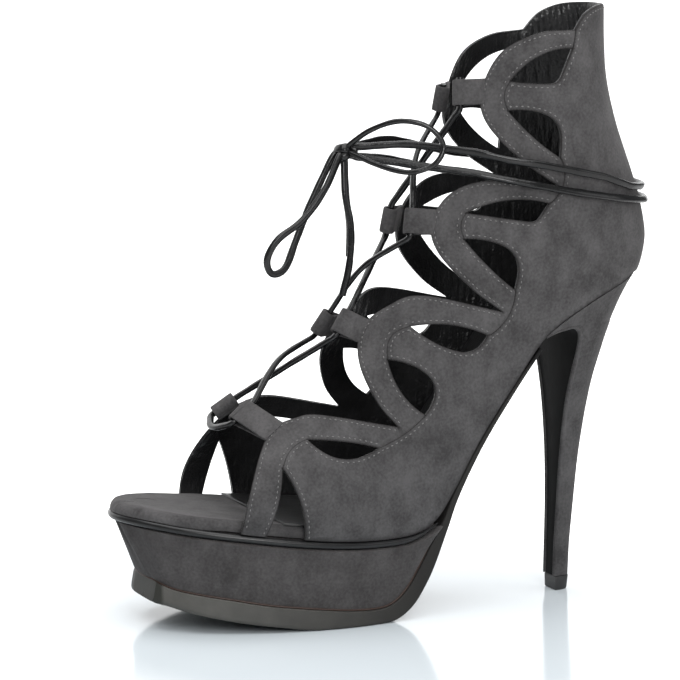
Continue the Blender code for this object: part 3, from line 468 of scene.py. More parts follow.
class FlatTree:
    """Finds the nearest of some points of the flat pattern."""

    def __init__(self, points: Array) -> None:
        self.tree = KDTree(len(points))
        for number, (x, z) in enumerate(points.tolist()):
            self.tree.insert((x, z, 0.0), number)
        self.tree.balance()

    @classmethod
    def of_lines(cls, lines: Sequence[Array], step: float = 0.3) -> "FlatTree":
        """Make a tree of points that lie a step apart along lines of the flat pattern."""
        return cls(np.vstack([evenly(line, step) for line in lines]))

    def numbers(self, points: Array) -> Array:
        """Return the number of the tree's nearest point to each given point."""
        return np.array([self.tree.find((x, z, 0.0))[1] for x, z in points.tolist()], int)

    def distances(self, points: Array) -> Array:
        """Return how far the tree's nearest point is from each given point."""
        return np.array([self.tree.find((x, z, 0.0))[2] for x, z in points.tolist()], float)


class Last:
    """The form that the shoe is built on, as sections from the sole or back seam to the front line."""

    ARC_STEPS = 64
    SEAM_GIRTH = 0.004

    def __init__(self) -> None:
        lateral = [(row.x, row.lateral) for row in PLAN]
        medial = [(row.x, row.medial) for row in PLAN]
        loop = [medial[1]] + lateral + medial[-2:0:-1] + lateral[:2]
        dense = along(loop, np.linspace(1, len(loop) - 2, 40 * len(loop)))
        turn = int(np.argmax(dense[:, 0]))
        start = int(np.argmin(dense[:turn, 0]))
        halves = dense[start:turn + 1], np.vstack([dense[turn:], dense[:start + 1]])
        self.plan = {side: half[np.argsort(half[:, 0])] for side, half in zip(Side, halves)}

    def edge_y(self, x: Array, side: Side) -> Array:
        """Return y of the feather line on one side at places along the shoe."""
        half = self.plan[side]
        return np.interp(x, half[:, 0], half[:, 1])

    def inward(self, x: float, side: Side) -> Array:
        """Return the inward direction of the plan outline.

        Args:
            x: Place along the shoe.
            side: The side.

        Returns:
            A flat direction of length one.
        """
        half = self.plan[side]
        slope = np.gradient(half, axis=0)
        turn = np.stack([slope[:, 1], -slope[:, 0]], axis=1) * int(side)
        turn /= np.maximum(np.linalg.norm(turn, axis=1), 1e-9)[:, None]
        return unit([np.interp(x, half[:, 0], column) for column in turn.T])

    def rung(self, row: Array) -> tuple[Array, Array]:
        """Return the ends of sections in side view: at the sole or back seam, and at the front line."""
        values = along(LAST, row)
        return values[..., 0:2], values[..., 2:4]

    def start(self, side: Side, row: Array) -> tuple[Array, Array]:
        """Return the half width of sections, and the angle on their oval where they start.

        Args:
            side: The side.
            row: Row positions.

        Returns:
            Half widths and angles.
        """
        row = np.asarray(row, float)
        values = along(LAST, row)
        width = values[..., 4] if side == Side.LATERAL else values[..., 5]
        foot = np.where(row < HEEL_SEAM_ROW, np.abs(self.edge_y(values[..., 0], side)), 0.0)
        return width, np.arcsin(np.clip(foot / width, 0, 1) ** (1 / BACK_FULLNESS))

    def points(self, side: Side, row: Array, girth: Array) -> Array:
        """Return points of the last.

        Args:
            side: The side.
            row: Row positions.
            girth: Shares from 0 at the sole or back seam to 1 at the front line.

        Returns:
            The points in millimetres.
        """
        sole, front = self.rung(row)
        width, start = self.start(side, row)
        angle = start + (math.pi - start) * girth
        share = (np.cos(start) - np.cos(angle)) / (np.cos(start) + 1)
        flat = sole + (front - sole) * share[..., None]
        sine = np.maximum(np.sin(angle), 0.0)
        oval = np.where(angle < math.pi / 2, sine ** BACK_FULLNESS, sine)
        drop = along(LAST, row)[..., 6] * share * (2 - share) if side == Side.MEDIAL else 0.0
        return np.stack([flat[..., 0], int(side) * width * oval, flat[..., 1] - drop], axis=-1)

    def normals(self, side: Side, row: Array, girth: Array, reach: float = 0.004) -> Array:
        """Return the outward normals of the last.

        Args:
            side: The side.
            row: Row positions.
            girth: Girth shares.
            reach: How far to either side the slope is measured.

        Returns:
            Directions of length one.
        """
        row, girth = np.asarray(row, float), np.asarray(girth, float)
        ahead = self.points(side, row, np.minimum(girth + reach, 1))
        across = ahead - self.points(side, row, np.maximum(girth - reach, 0))
        up = self.points(side, row + reach, girth) - self.points(side, row - reach, girth)
        normal = np.cross(up, across)
        sole, front = self.rung(row)
        middle = (sole + front) / 2
        outward = self.points(side, row, girth) - np.stack([middle[:, 0], 0 * girth, middle[:, 1]], axis=-1)
        normal *= np.sign(np.sum(normal * outward, axis=1))[:, None]
        normal[(girth <= 0) & (row >= HEEL_SEAM_ROW), 1] = 0
        normal[(girth <= 0) & (row <= HEEL_SEAM_ROW), 2] = 0
        return units(normal)

    def row_of(self, points: Array) -> Array:
        """Return the row positions of the sections that pass through points in side view.

        Args:
            points: Points in side view.

        Returns:
            Row positions.
        """
        low = np.zeros(len(points))
        high = np.full(len(points), len(LAST) - 1.0)

        def beside(row: Array) -> Array:
            sole, front = self.rung(row)
            line, offset = front - sole, points - sole
            return line[:, 0] * offset[:, 1] - line[:, 1] * offset[:, 0]

        sign = np.sign(beside(low))
        for _ in range(40):
            middle = (low + high) / 2
            before = np.sign(beside(middle)) == sign
            low, high = np.where(before, middle, low), np.where(before, high, middle)
        return low

    def locate(self, points: Rows, side: Side = Side.LATERAL) -> Array:
        """Return the places on the last of points given in side view.

        Args:
            points: Points in side view.
            side: The side.

        Returns:
            Row and girth of each point.
        """
        points = np.asarray(points, float)
        row = self.row_of(points)
        sole, front = self.rung(row)
        line = front - sole
        share = np.sum((points - sole) * line, axis=1) / np.sum(line * line, axis=1)
        _, start = self.start(side, row)
        angle = np.arccos(np.clip(np.cos(start) - share * (np.cos(start) + 1), -1, 1))
        return np.stack([row, np.clip((angle - start) / (math.pi - start), 0, 1)], axis=1)

    def _arcs(self, row: Array) -> tuple[Array, Array]:
        """Return a table of arc lengths over girth for sections, and the flat reach of their first points.

        Args:
            row: Row positions.

        Returns:
            Arc lengths, one line for each girth step, and the reach where they start.
        """
        girths = np.linspace(0, 1, self.ARC_STEPS + 1)
        steps = np.stack([self.points(Side.LATERAL, row, np.full_like(row, girth)) for girth in girths])
        arc = np.vstack([0 * row[None], np.cumsum(np.linalg.norm(np.diff(steps, axis=0), axis=2), axis=0)])
        sole, front = self.rung(row)
        _, start = self.start(Side.LATERAL, row)
        chord = np.linalg.norm(front - sole, axis=1)
        widest = (math.pi / 2 - start) / (math.pi - start)
        middle = chord * np.cos(start) / (np.cos(start) + 1)
        return arc, middle - self._read(arc, widest)

    def _read(self, arc: Array, girth: Array) -> Array:
        """Read a table of arc lengths.

        Args:
            arc: The table.
            girth: One girth for each of its columns.

        Returns:
            The arc lengths.
        """
        at = np.clip(girth, 0, 1) * self.ARC_STEPS
        low = np.minimum(at.astype(int), self.ARC_STEPS - 1)
        columns = np.arange(arc.shape[1])
        return arc[low, columns] + (arc[low + 1, columns] - arc[low, columns]) * (at - low)

    def flat(self, places: Array) -> Array:
        """Lay places of the last out flat, with true lengths along its sections.

        Args:
            places: Row and girth of each point.

        Returns:
            Points of the flat pattern.
        """
        row, girth = places[:, 0], places[:, 1]
        sole, front = self.rung(row)
        arc, first = self._arcs(row)
        reach = first + self._read(arc, girth)
        return sole + units(front - sole) * reach[:, None]

    def place(self, flat: Array) -> Array:
        """Return the places on the last of points of the flat pattern.

        Args:
            flat: Points of the flat pattern.

        Returns:
            Row and girth of each point.
        """
        row = self.row_of(flat)
        sole, front = self.rung(row)
        arc, first = self._arcs(row)
        target = np.sum((flat - sole) * units(front - sole), axis=1) - first
        low = np.clip(np.sum(arc <= target, axis=0) - 1, 0, self.ARC_STEPS - 1)
        columns = np.arange(len(row))
        step = np.maximum(arc[low + 1, columns] - arc[low, columns], 1e-9)
        girth = (low + np.clip((target - arc[low, columns]) / step, 0, 1)) / self.ARC_STEPS
        return np.stack([row, np.where(girth < self.SEAM_GIRTH, 0.0, girth)], axis=1)

    def feather_row(self, x: float) -> float:
        """Return the row position where the feather line reaches a place along the shoe."""
        rows = np.linspace(0, HEEL_SEAM_ROW, 1500)
        return float(np.interp(x, self.rung(rows)[0][:, 0], rows))

    def back_row(self, z: float) -> float:
        """Return the row position where the back seam reaches a height."""
        rows = np.linspace(HEEL_SEAM_ROW, len(LAST) - 1, 800)
        return float(np.interp(z, self.rung(rows)[0][:, 1], rows))

    def feather_line(self, step: float = 0.5) -> tuple[Array, Array]:
        """Return the feather line in side view from toe to heel.

        Args:
            step: About how far apart its points are.

        Returns:
            Its points and its upward normals.
        """
        toe = along(TOE_LINE, np.linspace(0, 3, 60))
        rear = self.rung(np.linspace(0, HEEL_SEAM_ROW, 600))[0][1:]
        points = evenly(np.vstack([toe, rear]), step)
        slope = np.gradient(points, axis=0)
        return points, units(np.stack([-slope[:, 1], slope[:, 0]], axis=1))


class StitchRow(NamedTuple):
    """Stitches of the flat pattern: places of their middles and of their two ends, and their panel."""

    middle: Array
    first: Array
    second: Array
    on_quarter: Array


@dataclass
class CagePattern:
    """The flat pattern of one side of the cage: its edges, panels and seams."""

    last: Last
    edge_step: float = 1.2
    inset_rows: tuple[float, ...] = (0.4, 0.9, 1.5, 2.1)
    panel_step: float = 2.1
    gather_step: float = 0.8
    stitch_inset: float = 1.5
    stitch_pitch: float = 2.35
    stitch_length: float = 1.1
    stitch_slack: float = 0.2
    foot_clear: float = 1.2
    inset_slack: float = 0.93
    panel_area: tuple[Pair, Pair] = ((20, 30), (245, 262))
    gather_area: tuple[Pair, Pair] = ((186, 217), (222, 262))
    panel_room: float = 2.9
    gather_room: float = 0.7
    cell: float = 0.35

    def __post_init__(self) -> None:
        self.fingers: list[Array] = []
        self.seams: list[Array] = []
        self.holes: list[Array] = []
        self._draw_outline()
        self._draw_windows()
        self._draw_seams()
        self.edge_tree = FlatTree.of_lines(self.cut + self.fingers + self.seams)
        self.held_tree = FlatTree.of_lines(self.held)
        self._triangulate()
        self._split()
        self.to_cut = FlatTree.of_lines(self.cut).distances(self.flat)
        self.to_finger = FlatTree.of_lines(self.fingers).distances(self.flat)
        self.to_seam = FlatTree.of_lines(self.seams).distances(self.flat)
        self.to_foot = FlatTree.of_lines(self.held[:2]).distances(self.flat)

    def _line(self, places: Array) -> Array:
        """Return even points of the flat pattern on a line through rows and girths of the last."""
        return evenly(self.last.flat(np.asarray(places, float)), self.edge_step)

    def _draw_outline(self) -> None:
        """Draw the outer edge from the toe strap round the heel and the collar and down the scallops."""
        last = self.last
        strap_front, strap_rear = (last.feather_row(x) for x in STRAP_FOOT_X)
        quarter_front = last.feather_row(QUARTER_FOOT_X)
        peak = last.back_row(COLLAR_PEAK_Z)
        feet = {row: last.rung(np.asarray(row))[0] for row in (strap_front, strap_rear, quarter_front, peak)}

        def held(start: float, end: float) -> Array:
            rows = np.linspace(start, end, 200)
            return self._line(np.stack([rows, 0 * rows], axis=1))

        def cut(points: Array, first: float | None = None, final: float | None = None) -> Array:
            places = last.locate(points)
            if first is not None:
                places[0] = (first, 0.0)
            if final is not None:
                places[-1] = (final, 0.0)
            return self._line(places)

        stretches = ((strap_front, strap_rear), (quarter_front, HEEL_SEAM_ROW), (HEEL_SEAM_ROW, peak))
        self.held = [held(*stretch) for stretch in stretches]
        gap_front = cut(bowed(feet[strap_rear], STRAP_GAP_APEX, STRAP_GAP_BOWS[0]), first=strap_rear)
        gap_rear = cut(bowed(STRAP_GAP_APEX, feet[quarter_front], -STRAP_GAP_BOWS[1]), final=quarter_front)
        collar = cut(smooth_route([tuple(feet[peak])] + COLLAR_EDGE, 0.4), first=peak)
        self.cut = [gap_front, gap_rear, collar]
        start = COLLAR_EDGE[-1]
        for number in (4, 3, 2):
            self.cut.append(cut(smooth_route([start, *SCALLOPS[number]], 0.4)))
            start = SCALLOPS[number].valley
        strap = smooth_route([start, *TOE_STRAP_FRONT, tuple(feet[strap_front])], 0.4)
        self.cut.append(cut(strap, final=strap_front))
        foot, quarter, back = self.held
        self.outline = np.vstack([foot, gap_front, gap_rear, quarter, back, *self.cut[2:]])

    def _draw_windows(self) -> None:
        """Draw the closed cut-outs, each with one rear corner rounded."""
        for windows, rounded_top in ((UPPER_WINDOWS, False), (LOWER_WINDOWS, True)):
            for window in windows.values():
                top = bowed(window.tip, window.top, window.bow_top)
                rear = bowed(window.top, window.low, window.bow_rear)
                low = bowed(window.low, window.tip, window.bow_low)
                before, after, corner = (top, rear, window.top) if rounded_top else (rear, low, window.low)
                before = before[np.linalg.norm(before - corner, axis=1) > window.radius]
                after = after[np.linalg.norm(after - corner, axis=1) > window.radius]
                f = np.linspace(0, 1, 13)[:, None]
                bend = before[-1] * (1 - f) ** 2 + 2 * np.asarray(corner) * f * (1 - f) + after[0] * f ** 2
                smooth = np.vstack([before, bend, after])
                sides = [smooth, low] if rounded_top else [top, smooth]
                lines = [self._line(self.last.locate(side)) for side in sides]
                self.cut += lines
                self.holes.append(np.vstack(lines))

    def _draw_seams(self) -> None:
        """Draw the edges of the quarter that lie over the bands."""
        for number, bow in FINGER_BOWS.items():
            end = LOWER_WINDOWS[number].tip if number in LOWER_WINDOWS else STRAP_GAP_APEX
            finger = bowed(UPPER_WINDOWS[number].tip, end, -bow)
            self.fingers.append(self._line(self.last.locate(finger)))
        self.seams.append(self._line(self.last.locate(bowed(COLLAR_EDGE[-1], UPPER_WINDOWS[4].top, 0.0))))
        for number, bow in ARM_SEAM_BOWS.items():
            seam = bowed(LOWER_WINDOWS[number].low, UPPER_WINDOWS[number - 1].top, bow)
            self.seams.append(self._line(self.last.locate(seam)))

    def on_material(self, points: Array) -> Array:
        """Tell which points of the flat pattern lie on suede.

        Args:
            points: Points of the flat pattern.

        Returns:
            True for each point on suede.
        """
        keep = inside(points, self.outline)
        for hole in self.holes:
            keep &= ~inside(points, hole)
        return keep

    def _beside(self, line: Array, distance: float, step: float) -> tuple[Array, Array]:
        """Return points along a line and to its left.

        Args:
            line: A line of the flat pattern.
            distance: How far to its left, or to its right when negative.
            step: How far apart the points are.

        Returns:
            The points and the line's directions at them.
        """
        length = lengths(line)[-1]
        places = evenly(line, length / max(2, round(length / step)))
        places = (places[1:] + places[:-1]) / 2
        direction = units(np.gradient(places, axis=0))
        left = np.stack([-direction[:, 1], direction[:, 0]], axis=1)
        return places + left * distance, direction

    def _plain(self, points: Array) -> Array:
        """Tell which points of the flat pattern lie outside the gathered part of the lining."""
        return (points[:, 0] < self.gather_area[0][0]) | (points[:, 1] < self.gather_area[0][1])

    def _inner_points(self) -> Array:
        """Return points inside the panels: rows beside every edge, and an even spread between them.

        Returns:
            Points of the flat pattern.
        """
        edges = self.cut + self.fingers + self.seams
        chosen: list[Array] = []
        for distance in self.inset_rows:
            for line in edges:
                for sign in (-1, 1):
                    points, _ = self._beside(line, sign * distance, self.edge_step)
                    clear = self.edge_tree.distances(points) > self.inset_slack * distance
                    chosen.append(points[clear & self.on_material(points)])
        grids = []
        for step, (low, high) in ((self.panel_step, self.panel_area), (self.gather_step, self.gather_area)):
            xs = np.arange(low[0], high[0], step)
            zs = np.arange(low[1], high[1], step * math.sqrt(0.75))
            grid = np.array([(x + (step / 2 if row % 2 else 0), z) for row, z in enumerate(zs) for x in xs])
            grids.append(grid[self.on_material(grid)])
        coarse, gather = grids
        spread = np.vstack([coarse[self._plain(coarse)], gather])
        room = np.where(self._plain(spread), self.panel_room, self.gather_room)
        clear_of_edges = self.edge_tree.distances(spread) > room
        clear_of_feet = self.held_tree.distances(spread) > self.gather_room
        chosen.append(spread[clear_of_edges & clear_of_feet])
        return np.vstack(chosen)

    def _triangulate(self) -> None:
        """Fill the panels with triangles that keep every edge."""
        points: list[Array] = []
        lines: list[tuple[int, int]] = []
        sewn_from = 0
        for group in (self.held + self.cut, self.fingers + self.seams):
            sewn_from = len(lines)
            for chain in group:
                first = len(points)
                points += list(chain)
                lines += [(first + i, first + i + 1) for i in range(len(chain) - 1)]
        taken: set[tuple[int, int]] = set()
        for point in self._inner_points():
            cell = (int(point[0] / self.cell), int(point[1] / self.cell))
            if cell not in taken:
                taken.add(cell)
                points.append(point)
        found = delaunay_2d_cdt([Vector(point) for point in points], lines, [], 0, 1e-4)
        self.flat = np.array([tuple(point) for point in found[0]])
        triangles = np.array([list(face) for face in found[2] if len(face) == 3])
        self.triangles = triangles[self.on_material(self.flat[triangles].mean(axis=1))]
        self.places = self.last.place(self.flat)
        self.sewn = {frozenset(edge) for edge, source in zip(found[1], found[4])
                     if any(line >= sewn_from for line in source)}

    def _split(self) -> None:
        """Tell the quarter's triangles from the bands': they reach the back seam without crossing a seam."""
        self.owners: dict[frozenset[int], list[int]] = {}
        for number, triangle in enumerate(self.triangles):
            for a, b in zip(triangle, np.roll(triangle, -1)):
                self.owners.setdefault(frozenset((int(a), int(b))), []).append(number)
        self.joined = (self.places[:, 1] <= 0) & (self.places[:, 0] >= HEEL_SEAM_ROW - 0.01)
        reached = {number for number, triangle in enumerate(self.triangles) if self.joined[triangle].any()}
        queue = list(reached)
        while queue:
            triangle = self.triangles[queue.pop()]
            for a, b in zip(triangle, np.roll(triangle, -1)):
                edge = frozenset((int(a), int(b)))
                if edge in self.sewn:
                    continue
                for other in self.owners[edge]:
                    if other not in reached:
                        reached.add(other)
                        queue.append(other)
        self.is_quarter = np.array([number in reached for number in range(len(self.triangles))])

    def stitches(self) -> StitchRow:
        """Return the stitches beside every edge.

        Returns:
            Their places on the last.
        """
        panels = FlatTree(self.flat[self.triangles].mean(axis=1))
        middles, ends, quarter = [], [], []
        for lines, quarter_only in ((self.cut + self.fingers, False), (self.seams, True)):
            for line in lines:
                for sign in (-1, 1):
                    points, direction = self._beside(line, sign * self.stitch_inset, self.stitch_pitch)
                    on_quarter = self.is_quarter[panels.numbers(points)]
                    keep = self.on_material(points) & (on_quarter | (not quarter_only))
                    keep &= self.edge_tree.distances(points) > self.stitch_inset - self.stitch_slack
                    keep &= self.held_tree.distances(points) > self.foot_clear
                    middles.append(points[keep])
                    ends.append(direction[keep] * self.stitch_length / 2)
                    quarter.append(on_quarter[keep])
        middle, end = np.vstack(middles), np.vstack(ends)
        place = self.last.place
        return StitchRow(place(middle), place(middle - end), place(middle + end), np.concatenate(quarter))


class Nodes:
    """Adds nodes to one shader tree and links them."""

    def __init__(self, tree: bpy.types.NodeTree) -> None:
        self.tree = tree

    def feed(self, node: bpy.types.Node, **sockets: object) -> None:
        """Set or link inputs of a node.

        Args:
            node: The node.
            **sockets: A value or an output socket for each input, by its name with underscores for spaces,
                or by the letter i and its number.
        """
        for name, value in sockets.items():
            socket = node.inputs[int(name[1:])] if name[1:].isdigit() else node.inputs[name.replace("_", " ")]
            if isinstance(value, Socket):
                self.tree.links.new(value, socket)
            else:
                socket.default_value = value

    def add(self, kind: str, settings: dict | None = None, **sockets: object) -> bpy.types.Node:
        """Add a node.

        Args:
            kind: The node's type name.
            settings: Properties of the node.
            **sockets: Its inputs, as for feed().

        Returns:
            The node.
        """
        node = self.tree.nodes.new(kind)
        for name, value in (settings or {}).items():
            setattr(node, name, value)
        self.feed(node, **sockets)
        return node

    def math(self, operation: str, first: object, second: object = 0.0, third: float = 0.0,
             clamp: bool = False) -> Socket:
        """Return the result of an operation on numbers or sockets, clamped to 0 and 1 if wanted."""
        settings = {"operation": operation, "use_clamp": clamp}
        return self.add("ShaderNodeMath", settings, i0=first, i1=second, i2=third).outputs[0]

    def mix(self, factor: object, first: object, second: object) -> Socket:
        """Return the mix of two colours, where the factor is the share of the second one."""
        return self.add("ShaderNodeMix", {"data_type": "RGBA"}, i0=factor, i6=first, i7=second).outputs[2]

    def noise(self, scale: float, detail: float, vector: Socket) -> Socket:
        """Return the value of a noise texture, with its scale for coordinates in metres."""
        return self.add("ShaderNodeTexNoise", None, Vector=vector, Scale=scale, Detail=detail).outputs[0]


def new_group(name: str, inputs: dict[str, str],
              outputs: dict[str, str]) -> tuple[Nodes, bpy.types.Node, bpy.types.Node]:
    """Make a shader node group.

    Args:
        name: The group's name.
        inputs: Types of its input sockets by name.
        outputs: Types of its output sockets by name.

    Returns:
        Its nodes, with the one that gives its inputs and the one that takes its outputs.
    """
    group = bpy.data.node_groups.new(name, "ShaderNodeTree")
    for sockets, way in ((inputs, "INPUT"), (outputs, "OUTPUT")):
        for socket, kind in sockets.items():
            group.interface.new_socket(socket, in_out=way, socket_type=kind)
    return Nodes(group), group.nodes.new("NodeGroupInput"), group.nodes.new("NodeGroupOutput")


def nap_group() -> bpy.types.NodeTree:
    """Return the node group of suede: brushed, mottled colour and the height of the nap.

    Returns:
        The group, made once.
    """
    found = bpy.data.node_groups.get("Suede nap")
    if found:
        return found
    inputs = {"Dark": "NodeSocketColor", "Light": "NodeSocketColor"}
    outputs = {"Colour": "NodeSocketColor", "Height": "NodeSocketFloat"}
    nodes, given, result = new_group("Suede nap", inputs, outputs)
    coordinates = nodes.add("ShaderNodeTexCoord").outputs["Object"]
    strokes = nodes.add("ShaderNodeMapping", None, Vector=coordinates, Rotation=(0.0, 0.45, 0.0),
                        Scale=(1.0, 1.0, 0.62))
    blotches = nodes.noise(70.0, 3.0, coordinates)
    brushed = nodes.noise(165.0, 4.0, strokes.outputs[0])
    nap = nodes.noise(900.0, 3.0, coordinates)
    fibres = nodes.noise(2600.0, 2.0, coordinates)
    spread = nodes.math("MULTIPLY_ADD", blotches, 1.4, -0.57)
    brush = nodes.math("MULTIPLY", nodes.math("SUBTRACT", brushed, 0.5), 1.2)
    fine = nodes.math("MULTIPLY", nodes.math("SUBTRACT", nap, 0.5), 1.3)
    factor = nodes.math("ADD", nodes.math("ADD", spread, brush), nodes.math("ADD", fine, 0.35), clamp=True)
    colour = nodes.mix(factor, given.outputs["Dark"], given.outputs["Light"])
    height = nodes.math("ADD", nodes.math("MULTIPLY", nap, 0.6), nodes.math("MULTIPLY", fibres, 0.4))
    nodes.feed(result, Colour=colour, Height=height)
    return nodes.tree


def grain_group() -> bpy.types.NodeTree:
    """Return the node group of smooth leather: fine pores and soft unevenness.

    Returns:
        The group, made once.
    """
    found = bpy.data.node_groups.get("Leather grain")
    if found:
        return found
    inputs = {"Scale": "NodeSocketFloat", "Creases": "NodeSocketFloat"}
    outputs = {"Height": "NodeSocketFloat", "Wear": "NodeSocketFloat"}
    nodes, given, result = new_group("Leather grain", inputs, outputs)
    coordinates = nodes.add("ShaderNodeTexCoord").outputs["Object"]
    pores = nodes.add("ShaderNodeTexVoronoi", {"feature": "SMOOTH_F1"}, Vector=coordinates,
                      Scale=given.outputs["Scale"])
    soft = nodes.noise(220.0, 3.0, coordinates)
    stretched = nodes.add("ShaderNodeMapping", None, Vector=coordinates, Rotation=(0.0, 0.3, 0.0),
                          Scale=(1.0, 1.0, 0.18))
    folds = nodes.math("MULTIPLY", nodes.noise(420.0, 3.0, stretched.outputs[0]), given.outputs["Creases"])
    pored = nodes.math("ADD", nodes.math("MULTIPLY", pores.outputs["Distance"], 0.5), soft)
    nodes.feed(result, Height=nodes.math("ADD", pored, folds), Wear=nodes.noise(130.0, 5.0, coordinates))
    return nodes.tree


def new_material(name: str) -> tuple[bpy.types.Material, Nodes, bpy.types.Node]:
    """Make a new material.

    Args:
        name: The material's name.

    Returns:
        The material, its nodes and its shader.
    """
    material = bpy.data.materials.new(name)
    material.use_nodes = True
    return material, Nodes(material.node_tree), material.node_tree.nodes["Principled BSDF"]


@dataclass(frozen=True)
class Finish:
    """What all finishes share."""

    name: str

    def material(self) -> bpy.types.Material:
        """Return the material, made once.

        Returns:
            The material.
        """
        found = bpy.data.materials.get(self.name)
        if found:
            return found
        material, nodes, shader = new_material(self.name)
        self.fill(nodes, shader)
        return material

    def fill(self, nodes: Nodes, shader: bpy.types.Node) -> None:
        """Set up the shader of a new material."""
        raise NotImplementedError


@dataclass(frozen=True)
class Suede(Finish):
    """Brushed suede, dark at its cut edges, and with painted shade along the quarter's foot seam."""

    dark: Colour
    light: Colour
    edge: Colour = (0.014, 0.013, 0.013)
    sheen: float = 0.15

    def fill(self, nodes: Nodes, shader: bpy.types.Node) -> None:
        """Set up the shader of a new material.

        Args:
            nodes: The material's nodes.
            shader: Its shader.
        """
        nap = nodes.add("ShaderNodeGroup", {"node_tree": nap_group()}, Dark=(*self.dark, 1.0),
                        Light=(*self.light, 1.0))
        rim = nodes.add("ShaderNodeAttribute", {"attribute_name": "rim"}).outputs["Fac"]
        colour = nodes.mix(rim, nap.outputs["Colour"], (*self.edge, 1.0))
        bump = nodes.add("ShaderNodeBump", None, Strength=0.45, Distance=0.0004, Height=nap.outputs["Height"])
        nodes.feed(shader, Base_Color=colour, Normal=bump.outputs["Normal"], Roughness=0.95,
                   Specular_IOR_Level=0.12, Sheen_Weight=self.sheen, Sheen_Roughness=0.45,
                   Sheen_Tint=(0.62, 0.60, 0.60, 1.0))


class Shade(NamedTuple):
    """A colour that comes in between two places along the shoe, in metres of the shared frame."""

    start: float
    end: float
    colour: Colour


@dataclass(frozen=True)
class Leather(Finish):
    """Smooth leather with fine grain, with creases or with shades that come in along the shoe, painted shade
    among them.
    """

    colour: Colour
    worn: Colour
    roughness: float
    grain: float = 1100.0
    depth: float = 0.00012
    coat: float = 0.0
    specular: float = 0.5
    creases: float = 0.0
    shades: tuple[Shade, ...] = ()

    def fill(self, nodes: Nodes, shader: bpy.types.Node) -> None:
        """Set up the shader of a new material.

        Args:
            nodes: The material's nodes.
            shader: Its shader.
        """
        grain = nodes.add("ShaderNodeGroup", {"node_tree": grain_group()}, Scale=self.grain,
                          Creases=self.creases)
        wear = nodes.math("MULTIPLY_ADD", grain.outputs["Wear"], 2.4, -0.8, clamp=True)
        colour = nodes.mix(wear, (*self.colour, 1.0), (*self.worn, 1.0))
        for shade in self.shades:
            coordinates = nodes.add("ShaderNodeTexCoord").outputs["Object"]
            along_shoe = nodes.add("ShaderNodeSeparateXYZ", None, Vector=coordinates).outputs["X"]
            share = nodes.add("ShaderNodeMapRange", None, Value=along_shoe, From_Min=shade.start,
                              From_Max=shade.end).outputs[0]
            colour = nodes.mix(share, colour, (*shade.colour, 1.0))
        bump = nodes.add("ShaderNodeBump", None, Strength=0.5, Distance=self.depth,
                         Height=grain.outputs["Height"])
        nodes.feed(shader, Base_Color=colour, Normal=bump.outputs["Normal"], Roughness=self.roughness,
                   Specular_IOR_Level=self.specular, Coat_Weight=self.coat, Coat_Roughness=0.35)


@dataclass(frozen=True)
class Plain(Finish):
    """One even colour."""

    colour: Colour
    roughness: float

    def fill(self, nodes: Nodes, shader: bpy.types.Node) -> None:
        """Set up the shader of a new material."""
        nodes.feed(shader, Base_Color=(*self.colour, 1.0), Roughness=self.roughness)


SUEDE = Suede("charcoal suede", (0.0375, 0.0362, 0.0368), (0.0790, 0.0765, 0.0775))
PLATFORM_SUEDE = Suede("platform suede", (0.0375, 0.0352, 0.0352), (0.0700, 0.0660, 0.0662))
LINING = Leather("black lining leather", (0.010, 0.010, 0.0105), (0.018, 0.018, 0.0185), 0.30,
                 depth=0.0008, specular=0.38, creases=2.2)
SOCK_LEATHER = Leather("black sock leather", (0.010, 0.010, 0.0105), (0.018, 0.018, 0.0185), 0.36,
                       depth=0.0003, specular=0.30, creases=0.25)
PIPING_LEATHER = Leather("black piping leather", (0.006, 0.006, 0.0065), (0.010, 0.010, 0.0105), 0.28,
                         coat=0.10, specular=0.30)
# Black leather on the heel's breast; where the same cover runs up the arch and along to the sole it is
# painted shade.
BREAST_LEATHER_AND_SHADE = Leather("black breast leather and painted shade", (0.009, 0.009, 0.009), (0.013, 0.013, 0.013), 0.60,
                         specular=0.04)
SOLE_DARKENING_AND_PAINTED_SHADE = (
    # darker from the forefoot back to the waist
    Shade(-0.080, 0.004, (0.022, 0.021, 0.020)),
    # painted shade on the front facet of the toe
    Shade(-0.1015, -0.1028, (0.034, 0.034, 0.030)),
    # painted shade on the shank's end face, which faces the key light
    Shade(0.052, 0.057, (0.007, 0.007, 0.007)),
)
OUTSOLE_LEATHER = Leather("dark sole leather", (0.072, 0.070, 0.065), (0.090, 0.087, 0.080), 0.50,
                          grain=600.0, specular=0.12, shades=SOLE_DARKENING_AND_PAINTED_SHADE)
LACE_LEATHER = Leather("waxed lace leather", (0.004, 0.004, 0.0045), (0.009, 0.009, 0.009), 0.20,
                       grain=1600.0, depth=0.0002, specular=0.32)
THREAD = Plain("pale grey thread", (0.125, 0.123, 0.121), 0.75)
WELT_INK = Plain("brown edge ink", (0.030, 0.014, 0.009), 0.60)
RUBBER = Plain("dark heel rubber", (0.014, 0.014, 0.0145), 0.55)


def adopt(piece: bpy.types.Object, finish: Finish, nodes: Sequence[str] = ()) -> None:
    """Give a piece its finish and place it in the frame.

    Args:
        piece: The piece.
        finish: What it is made of.
        nodes: The CAD nodes that it stands for.
    """
    piece.data.materials.clear()
    piece.data.materials.append(finish.material())
    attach(piece, ROOT)
    if nodes:
        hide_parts(*nodes)
    LOG.info("%s: %s", piece.name, finish.name)


def new_object(name: str, bm: bmesh.types.BMesh, sharp: float = 38.0) -> bpy.types.Object:
    """Turn a bmesh into an object at the origin.

    Args:
        name: The object's name.
        bm: The bmesh, which is freed.
        sharp: Edges that turn more than this many degrees stay sharp.

    Returns:
        The object.
    """
    mesh = bpy.data.meshes.new(name)
    bm.to_mesh(mesh)
    bm.free()
    mesh.shade_smooth()
    mesh.set_sharp_from_angle(angle=math.radians(sharp))
    made = bpy.data.objects.new(name, mesh)
    bpy.context.scene.collection.objects.link(made)
    return made


